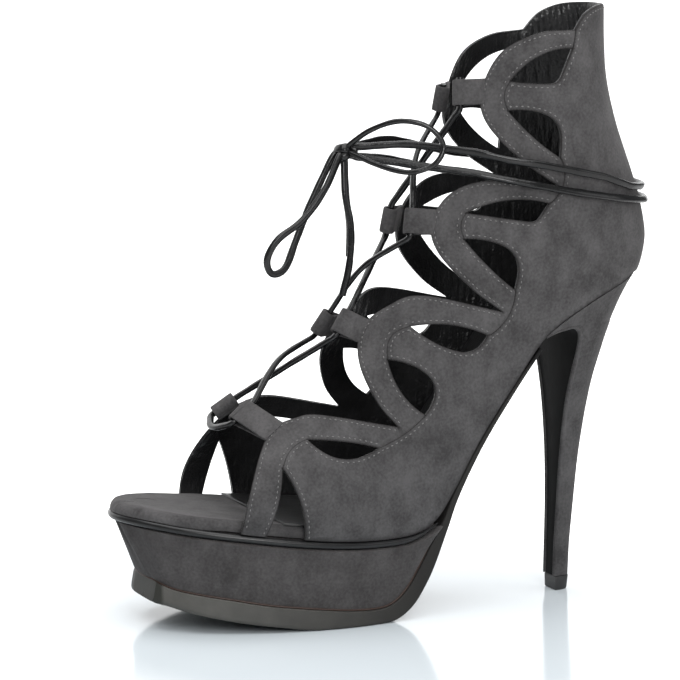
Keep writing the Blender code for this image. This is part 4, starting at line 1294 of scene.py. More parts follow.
def loft(name: str, rings: Sequence[Rows], sharp: float = 38.0,
         joined: bool = False) -> bpy.types.Object:
    """Make a closed body through rings of points.

    Args:
        name: The object's name.
        rings: Rings with the same number of points each, in millimetres.
        sharp: Edges that turn more than this many degrees stay sharp.
        joined: Whether the last ring meets the first one, instead of both being capped.

    Returns:
        The object.
    """
    rings = [*rings, rings[0]] if joined else list(rings)
    count = len(rings[0])
    bm = bmesh.new()
    bmesh.ops.create_grid(bm, x_segments=count, y_segments=len(rings) - 1, size=1.0)
    for number, vertex in enumerate(bm.verts):
        ring, place = divmod(number, count + 1)
        vertex.co = world(rings[ring][place % count])
    bmesh.ops.remove_doubles(bm, verts=bm.verts, dist=1e-7)
    rim = [edge for edge in bm.edges if edge.is_boundary]
    if rim:
        bmesh.ops.holes_fill(bm, edges=rim, sides=0)
    bmesh.ops.recalc_face_normals(bm, faces=bm.faces)
    return new_object(name, bm, sharp)


def relax(piece: bpy.types.Object, reach: float, times: int = 12, upright: float = 0.8) -> None:
    """Even out the top of a piece near the toe.

    Args:
        piece: The piece.
        reach: How far from the toe it is done, in millimetres.
        times: How often the points are drawn to their neighbours' middle.
        upright: How far the normals of the moved points rise at least.
    """
    bm = bmesh.new()
    bm.from_mesh(piece.data)
    limit = (reach - CENTRE_X) * MM
    top = [vertex for vertex in bm.verts if vertex.co.x < limit and vertex.normal.z > upright]
    for _ in range(times):
        bmesh.ops.smooth_vert(bm, verts=top, factor=0.5, use_axis_x=True, use_axis_y=True, use_axis_z=True)
    bm.to_mesh(piece.data)
    bm.free()


def round_section(half_width: float, half_height: float, sides: int = 14,
                  fullness: float = 2.6) -> Array:
    """Return the outline of a flattened cord or strip.

    Args:
        half_width: Half its width.
        half_height: Half its thickness.
        sides: How many points it has.
        fullness: 2 is an oval, and more is squarer.

    Returns:
        Points across and up.
    """
    angle = np.linspace(0, 2 * math.pi, sides, endpoint=False)
    cosine, sine = np.cos(angle), np.sin(angle)
    power = 2 / fullness
    return np.stack([half_width * np.sign(cosine) * np.abs(cosine) ** power,
                     half_height * np.sign(sine) * np.abs(sine) ** power], axis=1)


def sweep(name: str, path: Array, section: Array, up: Sequence[float],
          scale: Array | None = None, joined: bool = False) -> bpy.types.Object:
    """Carry a section along a path without twisting it.

    Args:
        name: The object's name.
        path: The path's points.
        section: Points across and up.
        up: The section's up direction at the start.
        scale: Size of the section at each point of the path.
        joined: Whether the path is a closed loop.

    Returns:
        The object.
    """
    path = np.asarray(path, float)
    if joined:
        tangent = np.roll(path, -1, axis=0) - np.roll(path, 1, axis=0)
    else:
        tangent = np.gradient(path, axis=0)
    scale = np.ones(len(path)) if scale is None else scale
    rings = []
    up = np.asarray(up, float)
    for point, along_path, size in zip(path, units(tangent), scale):
        up = unit(up - along_path * np.dot(up, along_path))
        across = np.cross(along_path, up)
        rings.append([point + (across * a + up * b) * size for a, b in section])
    return loft(name, rings, 60.0, joined)


@dataclass
class Cage:
    """The upper: a suede quarter laid over suede bands, their black lining, and the stitches."""

    last: Last
    suede_thickness: float = 1.45
    rim_roll: float = 0.38
    rim_reach: float = 0.5
    groove: float = 0.16
    groove_reach: float = 0.38
    gather_depth: float = 0.7
    gather_pitch: float = 2.9
    stitch_half: Pair = (0.27, 0.24)
    gather_lean: float = 0.35
    gather_x: Pair = (187.0, 196.0)
    gather_z: Pair = (219.0, 236.0)
    gather_edge: Pair = (0.2, 2.5)
    crease_edge: Pair = (1.5, 6.0)
    edge_dark_reach: float = 0.30
    # strength of the painted shade along the quarter's foot seam, where it meets the heel and the shank
    foot_painted_shade: float = 0.7
    foot_roll: float = 0.5
    foot_reach: float = 0.9
    lining_gap: float = 0.05

    def __post_init__(self) -> None:
        self.pattern = CagePattern(self.last)
        row, girth = self.pattern.places.T
        self.skin = {side: self.last.points(side, row, girth) for side in Side}
        self.normal = {side: self.last.normals(side, row, girth) for side in Side}

    def _creases(self) -> Array:
        """Return how deep the creases lie at each point of the pattern.

        Returns:
            Depths in millimetres.
        """
        x, z = self.skin[Side.LATERAL][:, 0], self.skin[Side.LATERAL][:, 2]
        depth = 0 * x
        for crease in CREASES:
            heading = math.radians(crease.heading)
            along_it = (x - crease.x) * math.cos(heading) + (z - crease.z) * math.sin(heading)
            across = -(x - crease.x) * math.sin(heading) + (z - crease.z) * math.cos(heading)
            depth += crease.depth * np.exp(-(along_it / crease.length) ** 2 - (across / crease.width) ** 2)
        return depth * fade(self.pattern.to_cut, *self.crease_edge)

    def _gathers(self) -> Array:
        """Return how far the lining's gathers stand in at each point of the pattern.

        Returns:
            Depths in millimetres.
        """
        x, z = self.pattern.flat.T
        wander = 1.3 * np.sin((z - 220) / 5.0) + 0.9 * np.sin(x / 4.1)
        folds = np.sin(2 * math.pi * (x + self.gather_lean * (z - 240)) / self.gather_pitch + wander)
        depth = self.gather_depth * (0.5 + 0.5 * folds) * fade(z, *self.gather_z) * fade(x, *self.gather_x)
        return depth * fade(self.pattern.to_cut, *self.gather_edge)

    def _dressed(self, to_rim: Array, to_stitch: Array) -> Array:
        """Return how far the rolled rim and the row of stitches sink the suede.

        Args:
            to_rim: Distance of each point from the rolled edges.
            to_stitch: Distance of each point from the stitched edges.

        Returns:
            Depths in millimetres.
        """
        roll = self.rim_roll * np.exp(-(to_rim / self.rim_reach) ** 2)
        row = (to_stitch - self.pattern.stitch_inset) / self.groove_reach
        return roll + self.groove * np.exp(-row ** 2)

    def _shell(self, name: str, chosen: Array, outer: Array, inner: Array,
               rim: Array) -> bpy.types.Object:
        """Make both sides of some panels as one body with a wall.

        Args:
            name: The object's name.
            chosen: The triangles of the pattern that belong to it.
            outer: Depth of its outer face at each point.
            inner: Depth of its inner face at each point.
            rim: How dark each point is drawn: near a cut edge, and with painted shade along the quarter's
                foot seam.

        Returns:
            The object.
        """
        pattern = self.pattern
        triangles = pattern.triangles[chosen]
        bm = bmesh.new()
        shade = bm.verts.layers.float.new("rim")
        made: dict[tuple[int, str, int], bmesh.types.BMVert] = {}

        def vertex(side: Side, layer: str, number: int) -> bmesh.types.BMVert:
            key = (0 if pattern.joined[number] else int(side), layer, number)
            if key not in made:
                depth = outer[number] if layer == "outer" else inner[number]
                made[key] = bm.verts.new(world(self.skin[side][number] - self.normal[side][number] * depth))
                made[key][shade] = rim[number]
            return made[key]

        edges = dict.fromkeys((int(a), int(b)) for triangle in triangles
                              for a, b in zip(triangle, np.roll(triangle, -1)))
        walls = [(a, b) for a, b in edges if (b, a) not in edges
                 and not (pattern.joined[a] and pattern.joined[b])]
        for side in Side:
            turn = 1 if side == Side.LATERAL else -1
            for triangle in triangles:
                numbers = [int(i) for i in triangle][::turn]
                bm.faces.new([vertex(side, "outer", i) for i in numbers])
                bm.faces.new([vertex(side, "inner", i) for i in numbers[::-1]])
            for a, b in walls:
                first, second = (b, a) if turn == 1 else (a, b)
                bm.faces.new([vertex(side, "outer", first), vertex(side, "outer", second),
                              vertex(side, "inner", second), vertex(side, "inner", first)])
        return new_object(name, bm, 50.0)

    def build(self) -> None:
        """Make and dress the quarter, the bands, the lining and the stitches."""
        pattern = self.pattern
        creases = self._creases()
        edges = np.minimum(pattern.to_finger, pattern.to_seam)
        all_edges = np.minimum(pattern.to_cut, edges)
        sunk = 0 * all_edges + self.suede_thickness
        at_foot = np.exp(-(pattern.to_foot / self.foot_reach) ** 2)
        quarter = self._dressed(all_edges, all_edges) + creases + self.foot_roll * at_foot
        band = BAND_STEP + self._dressed(pattern.to_cut, np.minimum(pattern.to_cut, pattern.to_finger))
        # The rim colour is dark at cut edges; along the foot, where the quarter meets heel and shank, it is
        # painted shade of the seam.
        rim_quarter = np.maximum(np.exp(-(all_edges / self.edge_dark_reach) ** 2), self.foot_painted_shade * at_foot ** 2)
        rim_band = np.exp(-(pattern.to_cut / self.edge_dark_reach) ** 2)
        panels = {"quarter": (pattern.is_quarter, quarter, sunk, rim_quarter),
                  "bands": (~pattern.is_quarter, band, sunk, rim_band)}
        for name, panel in panels.items():
            adopt(self._shell(name, *panel), SUEDE, ["upper"])
        everything = np.full(len(pattern.triangles), True)
        inner = WALL + self._gathers()
        lining = self._shell("lining", everything, sunk + self.lining_gap, inner, 0 * sunk)
        adopt(lining, LINING, ["upper"])
        self._stitch()

    def _stitch(self) -> None:
        """Make every stitch as a short bead of thread that lies along its edge."""
        stitches = self.pattern.stitches()
        bead = bmesh.new()
        bmesh.ops.create_uvsphere(bead, u_segments=7, v_segments=5, radius=1.0)
        bead_mesh = bpy.data.meshes.new("bead")
        bead.to_mesh(bead_mesh)
        bead.free()
        bm = bmesh.new()
        half_width, half_height = self.stitch_half
        for side in Side:
            middle = self.last.points(side, *stitches.middle.T)
            normal = self.last.normals(side, *stitches.middle.T)
            direction = self.last.points(side, *stitches.second.T) - self.last.points(side, *stitches.first.T)
            depth = np.where(stitches.on_quarter, 0.0, BAND_STEP) + self.groove - 0.6 * half_height
            middle = middle - normal * depth[:, None]
            for centre, up, run in zip(middle, normal, direction):
                along_edge = unit(run - up * np.dot(run, up))
                axes = np.stack([along_edge * self.pattern.stitch_length / 2,
                                 np.cross(up, along_edge) * half_width, up * half_height], axis=1) * MM
                matrix = Matrix.Translation(world(centre)) @ Matrix(axes.tolist()).to_4x4()
                turned = bead_mesh.copy()
                turned.transform(matrix)
                bm.from_mesh(turned)
                bpy.data.meshes.remove(turned)
        bpy.data.meshes.remove(bead_mesh)
        adopt(new_object("topstitching", bm, 80.0), THREAD)


@dataclass
class Sole:
    """Outsole, platform, piping and insole."""

    last: Last
    station_step: float = 0.1
    footbed_toe: float = 4.2
    footbed_rear: float = 5.0
    footbed_rise: Pair = (5.0, 65.0)
    toe_inset: float = 0.9
    inset_span: Pair = (20.0, 38.0)
    toe_room: float = 9.0
    rear_room: float = 15.0
    room_span: Pair = (2.0, 30.0)
    toe_tuck: float = 0.5
    tuck_span: Pair = (28.0, 40.0)
    toe_smooth: float = 26.0
    sock_start: float = 61.0
    sock_thickness: float = 0.6
    flange: float = 1.6
    toe_undercut: float = 3.0
    undercut_end: float = 30.0
    ledge_round: Pair = (0.8, 0.6)
    wall_steps: int = 14
    toe_tip: float = 1.3
    toe_shares: tuple[float, ...] = (0.02, 0.08, 0.18, 0.32, 0.5, 0.72)
    toe_bulge: float = 1.0
    facet_bulge: float = 0.2
    facet_edges: Pair = (-15.5, -18.2)
    facet_rows: float = 2.0
    fold_height: float = 0.55
    fold_centre: float = 34.0
    fold_rise: Pair = (-4.0, 10.0)
    fold_fall: Pair = (40.0, 62.0)
    fold_start: float = 8.0
    fold_lean: float = 16.0
    fold_pitch: float = 27.0
    seat_bevel: float = 0.35
    tread_edge: float = 1.5
    toe_edge: float = 1.3
    toe_edge_span: Pair = (14.0, 34.0)
    welt_radius: float = 0.42
    welt_lift: float = 0.1
    welt_proud: float = 0.2
    piping_end: float = 0.15
    piping_taper: float = 20.0

    def __post_init__(self) -> None:
        self.line, self.rise = self.last.feather_line(0.25)

    def _fold(self, point: Array, share: float) -> Array:
        """Raise the soft folds that the platform's cover has where it is drawn round the toe.

        Args:
            point: A point of the platform's wall.
            share: Its place from the top of the wall to the bottom.

        Returns:
            The moved point.
        """
        arm = np.array([point[0] - self.fold_centre, point[1]])
        angle = math.degrees(math.atan2(-arm[1], -arm[0]))
        window = float(fade(angle, *self.fold_rise) * (1 - fade(angle, *self.fold_fall)))
        turn = (angle - self.fold_start - self.fold_lean * share) / self.fold_pitch
        swell = math.sin(math.pi * min(1.0, 0.12 + share)) ** 0.7
        lift = self.fold_height * window * math.cos(2 * math.pi * turn) * swell
        return point + np.array([*(unit(arm) * lift), 0.0])

    def above(self, x: float, y: float, height: float) -> Triple:
        """Return a point above the feather line, or below it when the height is negative.

        Args:
            x: Place along the shoe.
            y: Place across it.
            height: Distance from the feather line along its normal.

        Returns:
            The point.
        """
        near = int(np.argmin(np.abs(self.line[:, 0] - x)))
        across, up = self.rise[near]
        return (x + across * height, y, self.line[near, 1] + up * height)

    def stations(self, rows: Sequence[SoleRow], straight: float = 0.0) -> list[SoleRow]:
        """Return close stations of the sole, with the toe rounded off in front of the first row.

        Args:
            rows: The table's rows.
            straight: Up to which row the sole has flat facets with corners between them.

        Returns:
            The stations.
        """
        places = np.arange(0, len(rows) - 1 + 1e-6, self.station_step)
        values = along(rows, places)
        faceted = places <= straight
        for column, numbers in enumerate(zip(*rows)):
            values[faceted, column] = np.interp(places[faceted], range(len(rows)), numbers)
        values[:, 4] = np.maximum(values[:, 4], 0.0)
        first = values[0]
        middle = (first[5] + first[6]) / 2
        ahead = []
        for f in self.toe_shares:
            width = math.sqrt(1 - (1 - f) ** 2)
            reach = (self.facet_bulge if straight else self.toe_bulge) * (1 - f)
            row = first.copy()
            row[0] -= (first[0] - self.toe_tip) * (1 - f)
            row[[1, 3]] -= reach
            row[5:7] = middle + (first[5:7] - middle) * width
            ahead.append(row)
        return [SoleRow(*row) for row in [*ahead, *values]]

    def _platform(self) -> None:
        """Make the suede platform, with a ledge for the piping and soft folds round the toe."""
        ledge = 2 * PIPING_RADIUS + 2 * GAP
        round_in, round_down = self.ledge_round
        steps = self.wall_steps
        rings = []
        for row in self.stations(PLATFORM_ROWS):
            halves = []
            for side, tread_y in zip(Side, (row.lateral, row.medial)):
                rim = np.array([row.feather_x, self.last.edge_y(row.feather_x, side)])
                inward = self.last.inward(row.feather_x, side)
                tucked = GAP + self.toe_undercut * np.clip(1 - row.feather_x / self.undercut_end, 0, 1)
                corners = []
                for inset, depth in ((ledge + PIPING_RADIUS, GAP), (ledge + PIPING_RADIUS, ledge),
                                     (tucked + round_in, ledge), (tucked, ledge + round_down)):
                    x, y = rim + inward * inset
                    corners.append(np.array(self.above(x, y, -depth)))
                seat = np.array([row.seat_x, tread_y - side * self.flange, row.seat_z])
                wall = [self._fold(corners[-1] + (seat - corners[-1]) * i / steps, i / steps)
                        for i in range(1, steps + 1)]
                halves.append(corners + wall)
            rings.append(halves[0] + halves[1][::-1])
        adopt(loft("platform_cover", rings), PLATFORM_SUEDE, ["platform"])

    def _outsole(self) -> None:
        """Make the outsole with a crisp upper edge and a softened tread edge."""
        rings = []
        toe = [row._replace(lateral=edge) for row, edge in zip(PLATFORM_ROWS, self.facet_edges)]
        for row in self.stations(toe + PLATFORM_ROWS[len(toe):] + SHANK_ROWS, self.facet_rows):
            seat = np.array([row.seat_x, row.seat_z])
            tread = np.array([row.tread_x, row.tread_z])
            height = float(np.linalg.norm(seat - tread))
            up = unit(seat - tread)
            seat = seat - up * GAP
            rounder = self.toe_edge * float(1 - fade(row.tread_x, *self.toe_edge_span))
            soft = min(self.tread_edge + rounder, 0.4 * height)
            halves = []
            for side, edge in zip(Side, (row.lateral, row.medial)):
                half = []
                for inset, point in ((self.seat_bevel, seat), (0.0, seat - up * self.seat_bevel)):
                    half.append((point[0], edge - side * inset, point[1]))
                for angle in np.radians(np.arange(0, 91, 15)):
                    lifted = tread + up * soft * (1 - math.sin(angle))
                    half.append((lifted[0], edge - side * soft * (1 - math.cos(angle)), lifted[1]))
                halves.append(half)
            rings.append(halves[0] + halves[1][::-1])
        adopt(loft("outsole_edge", rings, 17.0), OUTSOLE_LEATHER, ["outsole"])

    def _welt(self) -> None:
        """Draw the thin brown line where the platform's cover meets the outsole."""
        rows = self.stations(PLATFORM_ROWS)
        inset = self.flange - self.welt_proud
        lateral = [(row.seat_x, row.lateral + inset, row.seat_z + self.welt_lift) for row in rows]
        medial = [(row.seat_x, row.medial - inset, row.seat_z + self.welt_lift) for row in rows]
        path = evenly(lateral[::-1] + medial, 1.5)
        section = round_section(self.welt_radius, self.welt_radius, 8, 2.0)
        adopt(sweep("welt_line", path, section, (0, 0, 1)), WELT_INK)

    def _insole_height(self, x: float) -> float:
        """Return the thickness of the insole at a place along the shoe."""
        return float(np.interp(x, self.footbed_rise, (self.footbed_toe, self.footbed_rear)))

    def _insole_inset(self, x: float) -> float:
        """Return how far the insole's edge is set in from the feather line at a place along the shoe."""
        return float(np.interp(x, self.inset_span, (self.toe_inset, WALL + 4 * GAP)))

    def _insole_ring(self, x: float, profile: Sequence[EdgePoint], lift: float = 0.0) -> list[Triple]:
        """Return the insole's section at one place.

        Args:
            x: Place along the shoe.
            profile: The points of one half of the section.
            lift: How far the whole section is raised.

        Returns:
            The section's points.
        """
        halves = []
        for side in Side:
            inward = self.last.inward(x, side)
            rim = np.array([x, self.last.edge_y(x, side)]) + inward * self._insole_inset(x)
            to_middle = 0.9 * (abs(rim[1] - PLAN[0].lateral) + 0.5) / max(abs(inward[1]), 0.02)
            room = min(to_middle, self.toe_room + self.rear_room * float(fade(x, *self.room_span)))
            bottom = GAP - self.toe_tuck * float(1 - fade(x, *self.tuck_span))
            half = []
            for point in profile:
                at_x, y = rim + inward * min(point.pull, room)
                height = bottom + (self._insole_height(at_x) - bottom) * point.share + lift
                half.append(self.above(at_x, y, height))
            halves.append(half)
        return halves[0] + halves[1][::-1]

    def _insole(self) -> None:
        """Make the suede insole with its soft edge, and the leather sock behind the toes."""
        toe = PLAN[0].x + 0.12 + 9.0 * np.linspace(0, 1, 18) ** 2.2
        end = PLAN[-1].x - 2.2 * (WALL + 4 * GAP)
        rear = np.arange(toe[-1] + 2.0, end, 2.0)
        insole = loft("insole", [self._insole_ring(x, INSOLE_EDGE) for x in [*toe, *rear, end]])
        relax(insole, self.toe_smooth)
        adopt(insole, SUEDE, ["footbed"])
        places = np.arange(self.sock_start, end - 1.0, 2.0)
        rings = [self._insole_ring(x, SOCK_EDGE, self.sock_thickness) for x in places]
        adopt(loft("insole_sock", rings), SOCK_LEATHER)

    def _piping(self) -> None:
        """Make the leather roll that runs round the toe on the platform's ledge."""
        rear = PLATFORM_ROWS[-1].feather_x
        centre = []
        for side in Side:
            half = self.last.plan[side]
            half = half[half[:, 0] <= rear]
            inset = [point + self.last.inward(point[0], side) * PIPING_RADIUS for point in half]
            centre += inset[::-1] if side == Side.LATERAL else inset[1:]
        path = np.array([self.above(x, y, -(PIPING_RADIUS + GAP)) for x, y in evenly(centre, 2.0)])
        for _ in range(4):
            path[1:-1] = (path[:-2] + 2 * path[1:-1] + path[2:]) / 4
        from_end = np.minimum(lengths(path), lengths(path[::-1])[::-1])
        size = self.piping_end + (1 - self.piping_end) * fade(from_end, 0, self.piping_taper)
        section = round_section(PIPING_RADIUS, PIPING_RADIUS, 16, 2.0)
        piping = sweep("piping_roll", path, section, (0, 0, 1), size)
        adopt(piping, PIPING_LEATHER, ["piping"])

    def build(self) -> None:
        """Make and dress every piece of the sole."""
        self._platform()
        self._outsole()
        self._welt()
        self._insole()
        self._piping()


@dataclass
class Heel:
    """The suede heel, the black cover of its breast, leather low down and painted shade up the arch, between
    two lips, and its tip.
    """

    last: Last
    sides: int = 24
    steps: int = 72
    seat_gap: float = 0.05
    seat_inset: float = 0.15
    breast_cover: float = 0.6
    breast_lip: float = 1.3
    breast_end: float = 176.0
    breast_steps: int = 3
    breast_round: float = 0.6
    lip_radius: float = 0.9
    lip_forward: float = 0.4
    lip_inward: float = 0.6
    lip_end: float = 0.2
    lip_taper: float = 12.0
    lip_x: float = 180.6
    arch: tuple[HeelRow, ...] = (HeelRow(108.5, 199.4, 218.2, 22.2), HeelRow(112.0, 198.9, 219.5, 23.3),
                                 HeelRow(114.4, 197.2, 220.5, 24.3), HeelRow(115.6, 194.4, 221.0, 25.0))
    arch_shares: tuple[float, ...] = (0.2, 0.4, 0.6, 0.8)
    arch_crown: float = 0.7
    back_hollow: float = 0.7

    def _section(self, row: HeelRow) -> Array:
        """Return the heel's outline at one height, from the lateral breast corner round to the medial one.

        Args:
            row: The heel at that height.

        Returns:
            The outline's points.
        """
        turn = np.linspace(-math.pi / 2, math.pi / 2, 120)
        outline = np.stack([row.breast + (row.back - row.breast) * np.cos(turn),
                            row.half_width * np.sin(turn), np.full(len(turn), row.z)], axis=1)
        return evenly(outline, lengths(outline)[-1] / (2 * self.sides - 1))

    def _seat(self) -> Array:
        """Return the outline of the heel's top, just under the upper and the insole.

        Returns:
            The outline's points.
        """
        line, _ = self.last.feather_line(0.5)
        rear = PLAN[-1].x - self.seat_inset
        halves = []
        for side in Side:
            x = rear - (rear - self.lip_x) * np.linspace(0, 1, 120) ** 2
            y = self.last.edge_y(x, side)
            y = y - int(side) * np.minimum(self.seat_inset, np.abs(y))
            y[0] = 0.0
            halves.append(np.stack([x, y], axis=1))
        outline = np.vstack([halves[0][::-1], halves[1][1:]])
        places = evenly(outline, lengths(outline)[-1] / (2 * self.sides - 1))
        height = np.interp(places[:, 0], line[:, 0], line[:, 1]) - self.seat_gap
        return np.column_stack([places, height])

    def _breast(self, rings: Array) -> None:
        """Cover the front of the heel in black, leather low down and painted shade up its curve to the end of
        the sole, between two lips.

        Args:
            rings: The heel's outlines from the tip to the seat.
        """
        line, _ = self.last.feather_line(0.5)
        corners = [(ring[0], ring[-1]) for ring in rings]
        # On along the sole the black cover is painted shade in the gap under the upper.
        for x in np.linspace(self.lip_x, self.breast_end, self.breast_steps + 1)[1:]:
            z = float(np.interp(x, line[:, 0], line[:, 1])) - self.seat_gap
            corners.append(tuple(np.array([x, corner[1], z]) for corner in corners[-1]))
        lateral, medial = (np.array(edge) for edge in zip(*corners))
        slope = np.gradient(lateral[:, [0, 2]], axis=0)
        out = units(np.stack([-slope[:, 1], slope[:, 0]], axis=1))
        strips = []
        for left, right, (across, up) in zip(lateral, medial, out * self.breast_cover):
            first, second = left[1] + self.breast_lip, right[1] - self.breast_lip
            profile = ((first, -0.2), (first, 0.6), (first + self.breast_round, 1.0),
                       ((first + second) / 2, 0.8), (second - self.breast_round, 1.0), (second, 0.6),
                       (second, -0.2))
            strips.append([(left[0] + across * share, y, left[2] + up * share) for y, share in profile])
        adopt(loft("breast_cover", strips, 60.0), BREAST_LEATHER_AND_SHADE, ["heel_breast"])
        section = round_section(self.lip_radius, self.lip_radius, 10, 2.0)
        for side, edge in zip(Side, (lateral, medial)):
            forward = out * self.lip_forward
            moved = edge + np.insert(forward, 1, -self.lip_inward * side, axis=1)
            path = moved[:-self.breast_steps]
            to_end = lengths(path[::-1])[::-1]
            size = self.lip_end + (1 - self.lip_end) * fade(to_end, 0, self.lip_taper)
            adopt(sweep(f"breast_lip_{side.name.lower()}", path, section, (0, 1, 0), size), SUEDE)

    def build(self) -> None:
        """Make and dress the heel, its breast and its tip."""
        top, seat = self._section(self.arch[-1]), self._seat()
        forward = np.abs(np.linspace(-1, 1, len(seat)))
        hollow, crown = -self.back_hollow * (1 - forward) ** 2, self.arch_crown * forward ** 4
        swell = np.stack([hollow, 0 * forward, crown], axis=1)
        between = [top + (seat - top) * share + swell * math.sin(math.pi * share)
                   for share in self.arch_shares]
        rows = np.array([*(self._section(row) for row in (*HEEL, *self.arch)), *between, seat])
        rings = along(rows, np.linspace(0, len(rows) - 1, self.steps))
        adopt(loft("heel_cover", rings, 45.0), SUEDE, ["heel"])
        self._breast(rings)
        tip = loft("heel_lift", [self._section(row) for row in TIP], 30.0)
        adopt(tip, RUBBER, ["heel_tip"])


@dataclass
class LaceLoop:
    """A folded suede tab, sewn under a band's edge, with the lace in its fold."""

    last: Last
    number: int
    side: Side
    width: float = 10.5
    skin: float = 1.15
    clear: float = 0.8
    play: float = 0.5
    skin_in_source: float = 1.2
    lead: float = 1.0
    fold_angle: float = 115.0
    tail: tuple[Pair, ...] = ((-2.6, 0.30), (-0.6, 0.42), (1.2, 0.62))

    def __post_init__(self) -> None:
        nose = SCALLOPS[self.number].nose if self.number in SCALLOPS else TOE_STRAP_FRONT[2]
        place = self.last.locate([nose], self.side)
        surface = self.last.points(self.side, *place.T)[0]
        outward = self.last.normals(self.side, *place.T)[0]
        ends = LOOP_ENDS[self.number]
        end = np.array(ends.lateral if self.side == Side.LATERAL else ends.medial)
        root = surface - outward * (BAND_STEP + WALL) / 2
        self.forward = unit(end - root)
        self.axis = unit(np.cross(self.forward, outward))
        if self.axis[2] < 0:
            self.axis = -self.axis
        self.outward = unit(outward - self.forward * np.dot(outward, self.forward))
        self.tunnel = LACE_RADIUS + self.play
        outside = self.tunnel + self.skin_in_source
        self.root = root + self.forward * self.clear
        self.centre = end - self.forward * outside
        self.length = float(np.dot(self.centre - self.root, self.forward))



    def point(self, forward: float, outward: float, along_axis: float) -> Array:
        """Return the point that lies so far from the tunnel's middle in the tab's own directions."""
        return self.centre + self.forward * forward + self.outward * outward + self.axis * along_axis

    def pass_through(self, upwards: bool) -> list[Array]:
        """Return the lace's points just before, in and just after the fold, running up or down."""
        ends = np.array([-0.5, 0.0, 0.5]) * (self.width + 2 * self.lead)
        return [self.point(0, 0, end) for end in (ends if upwards else ends[::-1])]

    def build(self) -> None:
        """Make the tab as a strip that runs out, round the lace and back."""
        radius = self.tunnel + self.skin / 2
        turn = np.radians(np.linspace(self.fold_angle, -self.fold_angle, 25))
        fold = [(radius * math.cos(a), radius * math.sin(a)) for a in turn]
        out = [(back - self.length, apart) for back, apart in self.tail]
        path = np.array(out + fold + [(f, -n) for f, n in out[::-1]])
        path = evenly(along(path, np.linspace(0, len(path) - 1, 200)), 0.7)
        tangent = units(np.gradient(path, axis=0))
        section = round_section(self.width / 2, self.skin / 2, 20, 7.0)
        rings = []
        for (forward, outward), (run, lift) in zip(path, tangent):
            rings.append([self.point(forward - lift * b, outward + run * b, a) for a, b in section])
        key = f"{self.number}_{self.side.name.lower()}"
        adopt(loft(f"tab_{key}", rings, 45.0), SUEDE, [f"loop_{key}"])


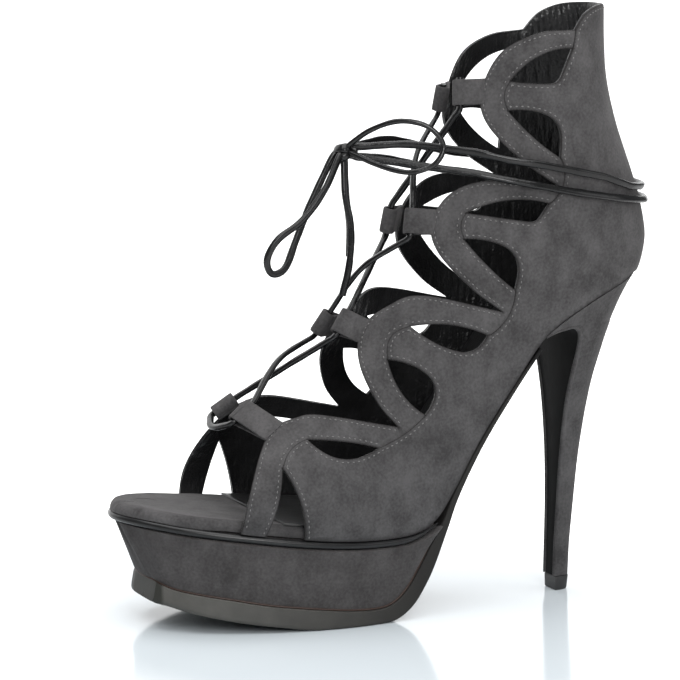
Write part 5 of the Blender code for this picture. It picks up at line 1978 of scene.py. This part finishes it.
@dataclass
class Lacing:
    """The lace: through the loops, round the ankle, and tied in a bow."""

    last: Last
    crossing_lift: float = 4.4
    wrap_offset: float = 2.1
    knot_clear: float = 5.0
    knot_reach: float = 0.55
    knot_thickness: float = 1.35
    half_width: float = 1.5
    half_height: float = 1.1
    unevenness: float = 0.06
    step: float = 1.2
    wrap_step: float = 3.0
    back_dip: float = 1.5

    def __post_init__(self) -> None:
        self.section = round_section(self.half_width, self.half_height, fullness=3.0)
        keys = [(number, side) for number in LOOP_ENDS for side in Side]
        self.loops = {key: LaceLoop(self.last, *key) for key in keys}

    def _crossings(self) -> None:
        """Run the lace down through the loops to the toe bar and up again, crossing over itself."""
        sides = tuple(Side)
        down = [self.loops[number, sides[number % 2]] for number in (4, 3, 2, 1)]
        up = [self.loops[number, sides[1 - number % 2]] for number in (1, 2, 3, 4)]
        order = [(loop, False, 0.0) for loop in down] + [(loop, True, self.crossing_lift) for loop in up]
        route: list[Array] = []
        for (loop, upwards, lift), following in zip(order, [*order[1:], None]):
            passing = loop.pass_through(upwards)
            route += passing
            if following is None:
                break
            ahead = following[0].pass_through(following[1])
            front = unit((loop.outward + following[0].outward) * (1, 0, 1))
            middle = (passing[-1] + ahead[0]) / 2 + front * lift
            if upwards != following[1]:
                middle = (passing[-1] + ahead[0]) / 2 - loop.axis * (0.5, 0, 0.5) * loop.width
            controls = [passing[-2], passing[-1], middle, ahead[0], ahead[1]]
            route += list(evenly(along(controls, np.linspace(1, 3, 60)), 5.4)[1:-1])
        path = smooth_route(route, self.step)
        run = sweep("lace_run", path, self.section, (-1, 0, 1), self._waver(path))
        adopt(run, LACE_LEATHER, ["lace_crossings"])

    def _waver(self, path: Array) -> Array:
        """Return the slightly uneven thickness of a cut lace, near 1 at each point of its path."""
        at = lengths(path)
        return 1 + self.unevenness * np.sin(at / 2.3) * np.sin(at / 5.9 + 1.0)

    def _tied(self, route: Rows, both: bool) -> Array:
        """Run the ends of a route on into the knot.

        Args:
            route: The route, which starts at the knot.
            both: Whether it also ends there.

        Returns:
            The longer route.
        """
        points = [np.asarray(point, float) for point in route]
        inwards = [end + (np.array(KNOT_CENTRE) - end) * self.knot_reach for end in (points[0], points[-1])]
        return np.array([inwards[0], *points] + ([inwards[1]] if both else []))

    def _wrap_route(self, side_view: Sequence[Pair], front: Triple, knot_side: Triple) -> Array:
        """Return one turn of the lace from the knot round the ankle and back to the knot.

        Args:
            side_view: The turn on the upper in side view.
            front: Where it passes between knot and upper.
            knot_side: The direction in which it leaves the knot.

        Returns:
            The turn's points.
        """
        back = self.last.back_row(side_view[-1][1] - self.back_dip)
        halves = []
        for side in Side:
            places = np.vstack([self.last.locate(side_view, side), [(back, 0.0)]])
            at = np.linspace(0, len(places) - 1, 20 * len(places))
            row, girth = (np.interp(at, range(len(places)), column) for column in places.T)
            skin = self.last.points(side, row, girth) + self.last.normals(side, row, girth) * self.wrap_offset
            turn = evenly(skin, self.wrap_step)
            lead = np.array([front[0], int(side) * front[1], front[2]])
            leaving = unit([knot_side[0], int(side) * knot_side[1], knot_side[2]])
            start = np.array(KNOT_CENTRE) + leaving * self.knot_clear
            leading = smooth_route([start, lead, turn[0], turn[1]], self.wrap_step)
            halves.append([*leading[:-1], *turn[1:]])
        return smooth_route(self._tied(halves[0] + halves[1][-2::-1], True), 1.5)

    def _cord(self, name: str, node: str, path: Array) -> None:
        """Args:
            name: The object's name.
            node: The CAD node that it stands for.
            path: Its points.
        """
        piece = sweep(name, path, self.section, (0.3, -1, 0.2), self._waver(path))
        adopt(piece, LACE_LEATHER, [node])
        points = [tuple(world(point)) for point in path]
        length = float(lengths(np.array(points))[-1])

    def _knot(self) -> bpy.types.Object:
        """Make the bow's tight knot.

        Returns:
            The object.
        """
        t = np.linspace(0, 2 * math.pi, 72, endpoint=False)
        reach = np.array(KNOT_RADII) - 0.7 * self.half_width * self.knot_thickness
        path = np.array(KNOT_CENTRE) + np.stack([
            reach[0] * (np.sin(t) + 2 * np.sin(2 * t)) / 3,
            -reach[1] * np.sin(3 * t),
            reach[2] * (np.cos(t) - 2 * np.cos(2 * t)) / 3,
        ], axis=1)
        return sweep("bow_knot", path, self.section * self.knot_thickness, (0, -1, 0.1), joined=True)

    def build(self) -> None:
        """Make and dress the loops and the whole lace."""
        for loop in self.loops.values():
            loop.build()
        self._crossings()
        knot = self._knot()
        adopt(knot, LACE_LEATHER, ["lace_knot"])
        upper = self._wrap_route(WRAP_UPPER, WRAP_FRONT_UPPER, WRAP_LEAVING_UPPER)
        lower = self._wrap_route(WRAP_LOWER, WRAP_FRONT_LOWER, WRAP_LEAVING_LOWER)
        self._cord("ankle_turn_upper", "lace_wrap_upper", upper)
        self._cord("ankle_turn_lower", "lace_wrap_lower", lower)
        front, side = (smooth_route(self._tied(route, True), self.step) for route in (BOW_FRONT, BOW_SIDE))
        ends = (END_LONG, END_SHORT)
        long_end, short_end = (smooth_route(self._tied(route, False), self.step) for route in ends)
        self._cord("bow_front", "bow_loop_front", front)
        self._cord("bow_side", "bow_loop_side", side)
        self._cord("end_long", "lace_end_long", long_end)
        self._cord("end_short", "lace_end_short", short_end)


class Lamp(NamedTuple):
    """A soft light: its place and width in metres, and its power in watts."""

    name: str
    place: Triple
    size: float
    power: float


LAMPS = [
    Lamp("overhead", (-0.10, -0.15, 1.50), 1.8, 34.0),
    Lamp("key", (-0.20, -1.50, 0.75), 0.7, 16.0),
    Lamp("fill", (1.20, -0.80, 0.60), 0.8, 3.0),
]


@dataclass
class Studio:
    """Pale floor, soft light and the camera of the photo."""

    target: Triple = (100.68, 0.0, 111.48)
    turn: float = 22.0
    elevation: float = 8.5
    distance: float = 1600.0
    lens: float = 206.7
    floor_half: float = 9.0
    floor_near_shade: Colour = (0.66, 0.715, 0.75)
    floor_far: Colour = (0.97, 0.97, 0.97)
    floor_glow: float = 0.7
    floor_fade: Pair = (0.10, 0.20)
    floor_shift: Triple = (0.025, 0.015, 0.0)
    floor_stretch: Triple = (1.0, 0.75, 1.0)
    wall_back: float = 2.6
    wall_half: float = 3.0
    wall_light: float = 0.3
    aim: Triple = (0.0, 0.0, 0.11)
    sky: Colour = (0.95, 0.98, 1.0)
    sky_strength: float = 0.22

    def _backdrop(self) -> None:
        """Make the bright wall behind, which the floor mirrors."""
        bm = bmesh.new()
        upright = Matrix.Translation((0, self.wall_back, 0)) @ Matrix.Rotation(math.radians(90), 4, "X")
        bmesh.ops.create_grid(bm, x_segments=1, y_segments=1, size=self.wall_half, matrix=upright)
        wall = new_object("backdrop", bm)
        material, nodes, shader = new_material("bright backdrop")
        diffuse = nodes.add("ShaderNodeLightPath").outputs["Is Diffuse Ray"]
        glow = nodes.mix(diffuse, (1.0, 1.0, 1.0, 1.0), (*[self.wall_light] * 3, 1.0))
        nodes.feed(shader, Emission_Color=glow, Emission_Strength=1.0)
        wall.data.materials.append(material)

    def _floor(self) -> None:
        """Make the floor: glossy, with painted bluish shade round the shoe, plain white further off."""
        bm = bmesh.new()
        bmesh.ops.create_grid(bm, x_segments=1, y_segments=1, size=self.floor_half)
        floor = new_object("floor", bm)
        material, nodes, shader = new_material("pale floor")
        coordinates = nodes.add("ShaderNodeTexCoord").outputs["Object"]
        shifted = nodes.add("ShaderNodeMapping", None, Vector=coordinates, Location=self.floor_shift,
                            Scale=self.floor_stretch).outputs[0]
        away = nodes.add("ShaderNodeVectorMath", {"operation": "LENGTH"}, i0=shifted).outputs["Value"]
        near, off = self.floor_fade
        far = nodes.add("ShaderNodeMapRange", {"interpolation_type": "SMOOTHSTEP"}, Value=away,
                        From_Min=near, From_Max=off).outputs[0]
        # painted bluish shade round the shoe, fading to white further off
        colour = nodes.mix(far, (*self.floor_near_shade, 1.0), (*self.floor_far, 1.0))
        seen = nodes.math("MULTIPLY", far, nodes.add("ShaderNodeLightPath").outputs["Is Camera Ray"])
        glow = nodes.mix(seen, (0.0, 0.0, 0.0, 1.0), (*[self.floor_glow] * 3, 1.0))
        nodes.feed(shader, Base_Color=colour, Emission_Color=glow, Emission_Strength=1.0, Roughness=0.12)
        floor.data.materials.append(material)

    def _light(self, lamp: Lamp) -> None:
        """Add a soft light that points at the shoe.

        Args:
            lamp: Its row of the table.
        """
        data = bpy.data.lights.new(lamp.name, "AREA")
        data.size = lamp.size
        data.energy = lamp.power
        light = bpy.data.objects.new(lamp.name, data)
        light.location = lamp.place
        light.rotation_euler = (Vector(self.aim) - Vector(lamp.place)).to_track_quat("-Z", "Y").to_euler()
        bpy.context.scene.collection.objects.link(light)

    def _camera(self) -> None:
        """Add the camera at the photo's angle."""
        turn, rise = math.radians(self.turn), math.radians(self.elevation)
        back = Vector((-math.sin(turn) * math.cos(rise), -math.cos(turn) * math.cos(rise), math.sin(rise)))
        data = bpy.data.cameras.new("photo view")
        data.lens = self.lens
        data.sensor_width = 36.0
        data.dof.use_dof = False
        camera = bpy.data.objects.new("photo view", data)
        camera.location = world(self.target) + back * self.distance * MM
        camera.rotation_euler = (-back).to_track_quat("-Z", "Y").to_euler()
        bpy.context.scene.collection.objects.link(camera)
        bpy.context.scene.camera = camera

    def build(self) -> None:
        """Set up floor, lights, background and camera."""
        self._floor()
        self._backdrop()
        for lamp in LAMPS:
            self._light(lamp)
        background = bpy.data.worlds.new("studio")
        background.use_nodes = True
        sky = background.node_tree.nodes["Background"]
        sky.inputs["Color"].default_value = (*self.sky, 1.0)
        sky.inputs["Strength"].default_value = self.sky_strength
        bpy.context.scene.world = background
        bpy.context.scene.view_settings.view_transform = "Standard"
        self._camera()


def main() -> None:
    """Build the whole scene."""
    logging.basicConfig(level=logging.INFO, format="%(relativeCreated)7d ms  %(message)s")
    last = Last()
    Studio().build()
    Lacing(last).build()
    Cage(last).build()
    Sole(last).build()
    Heel(last).build()


if __name__ == "__main__":
    main()
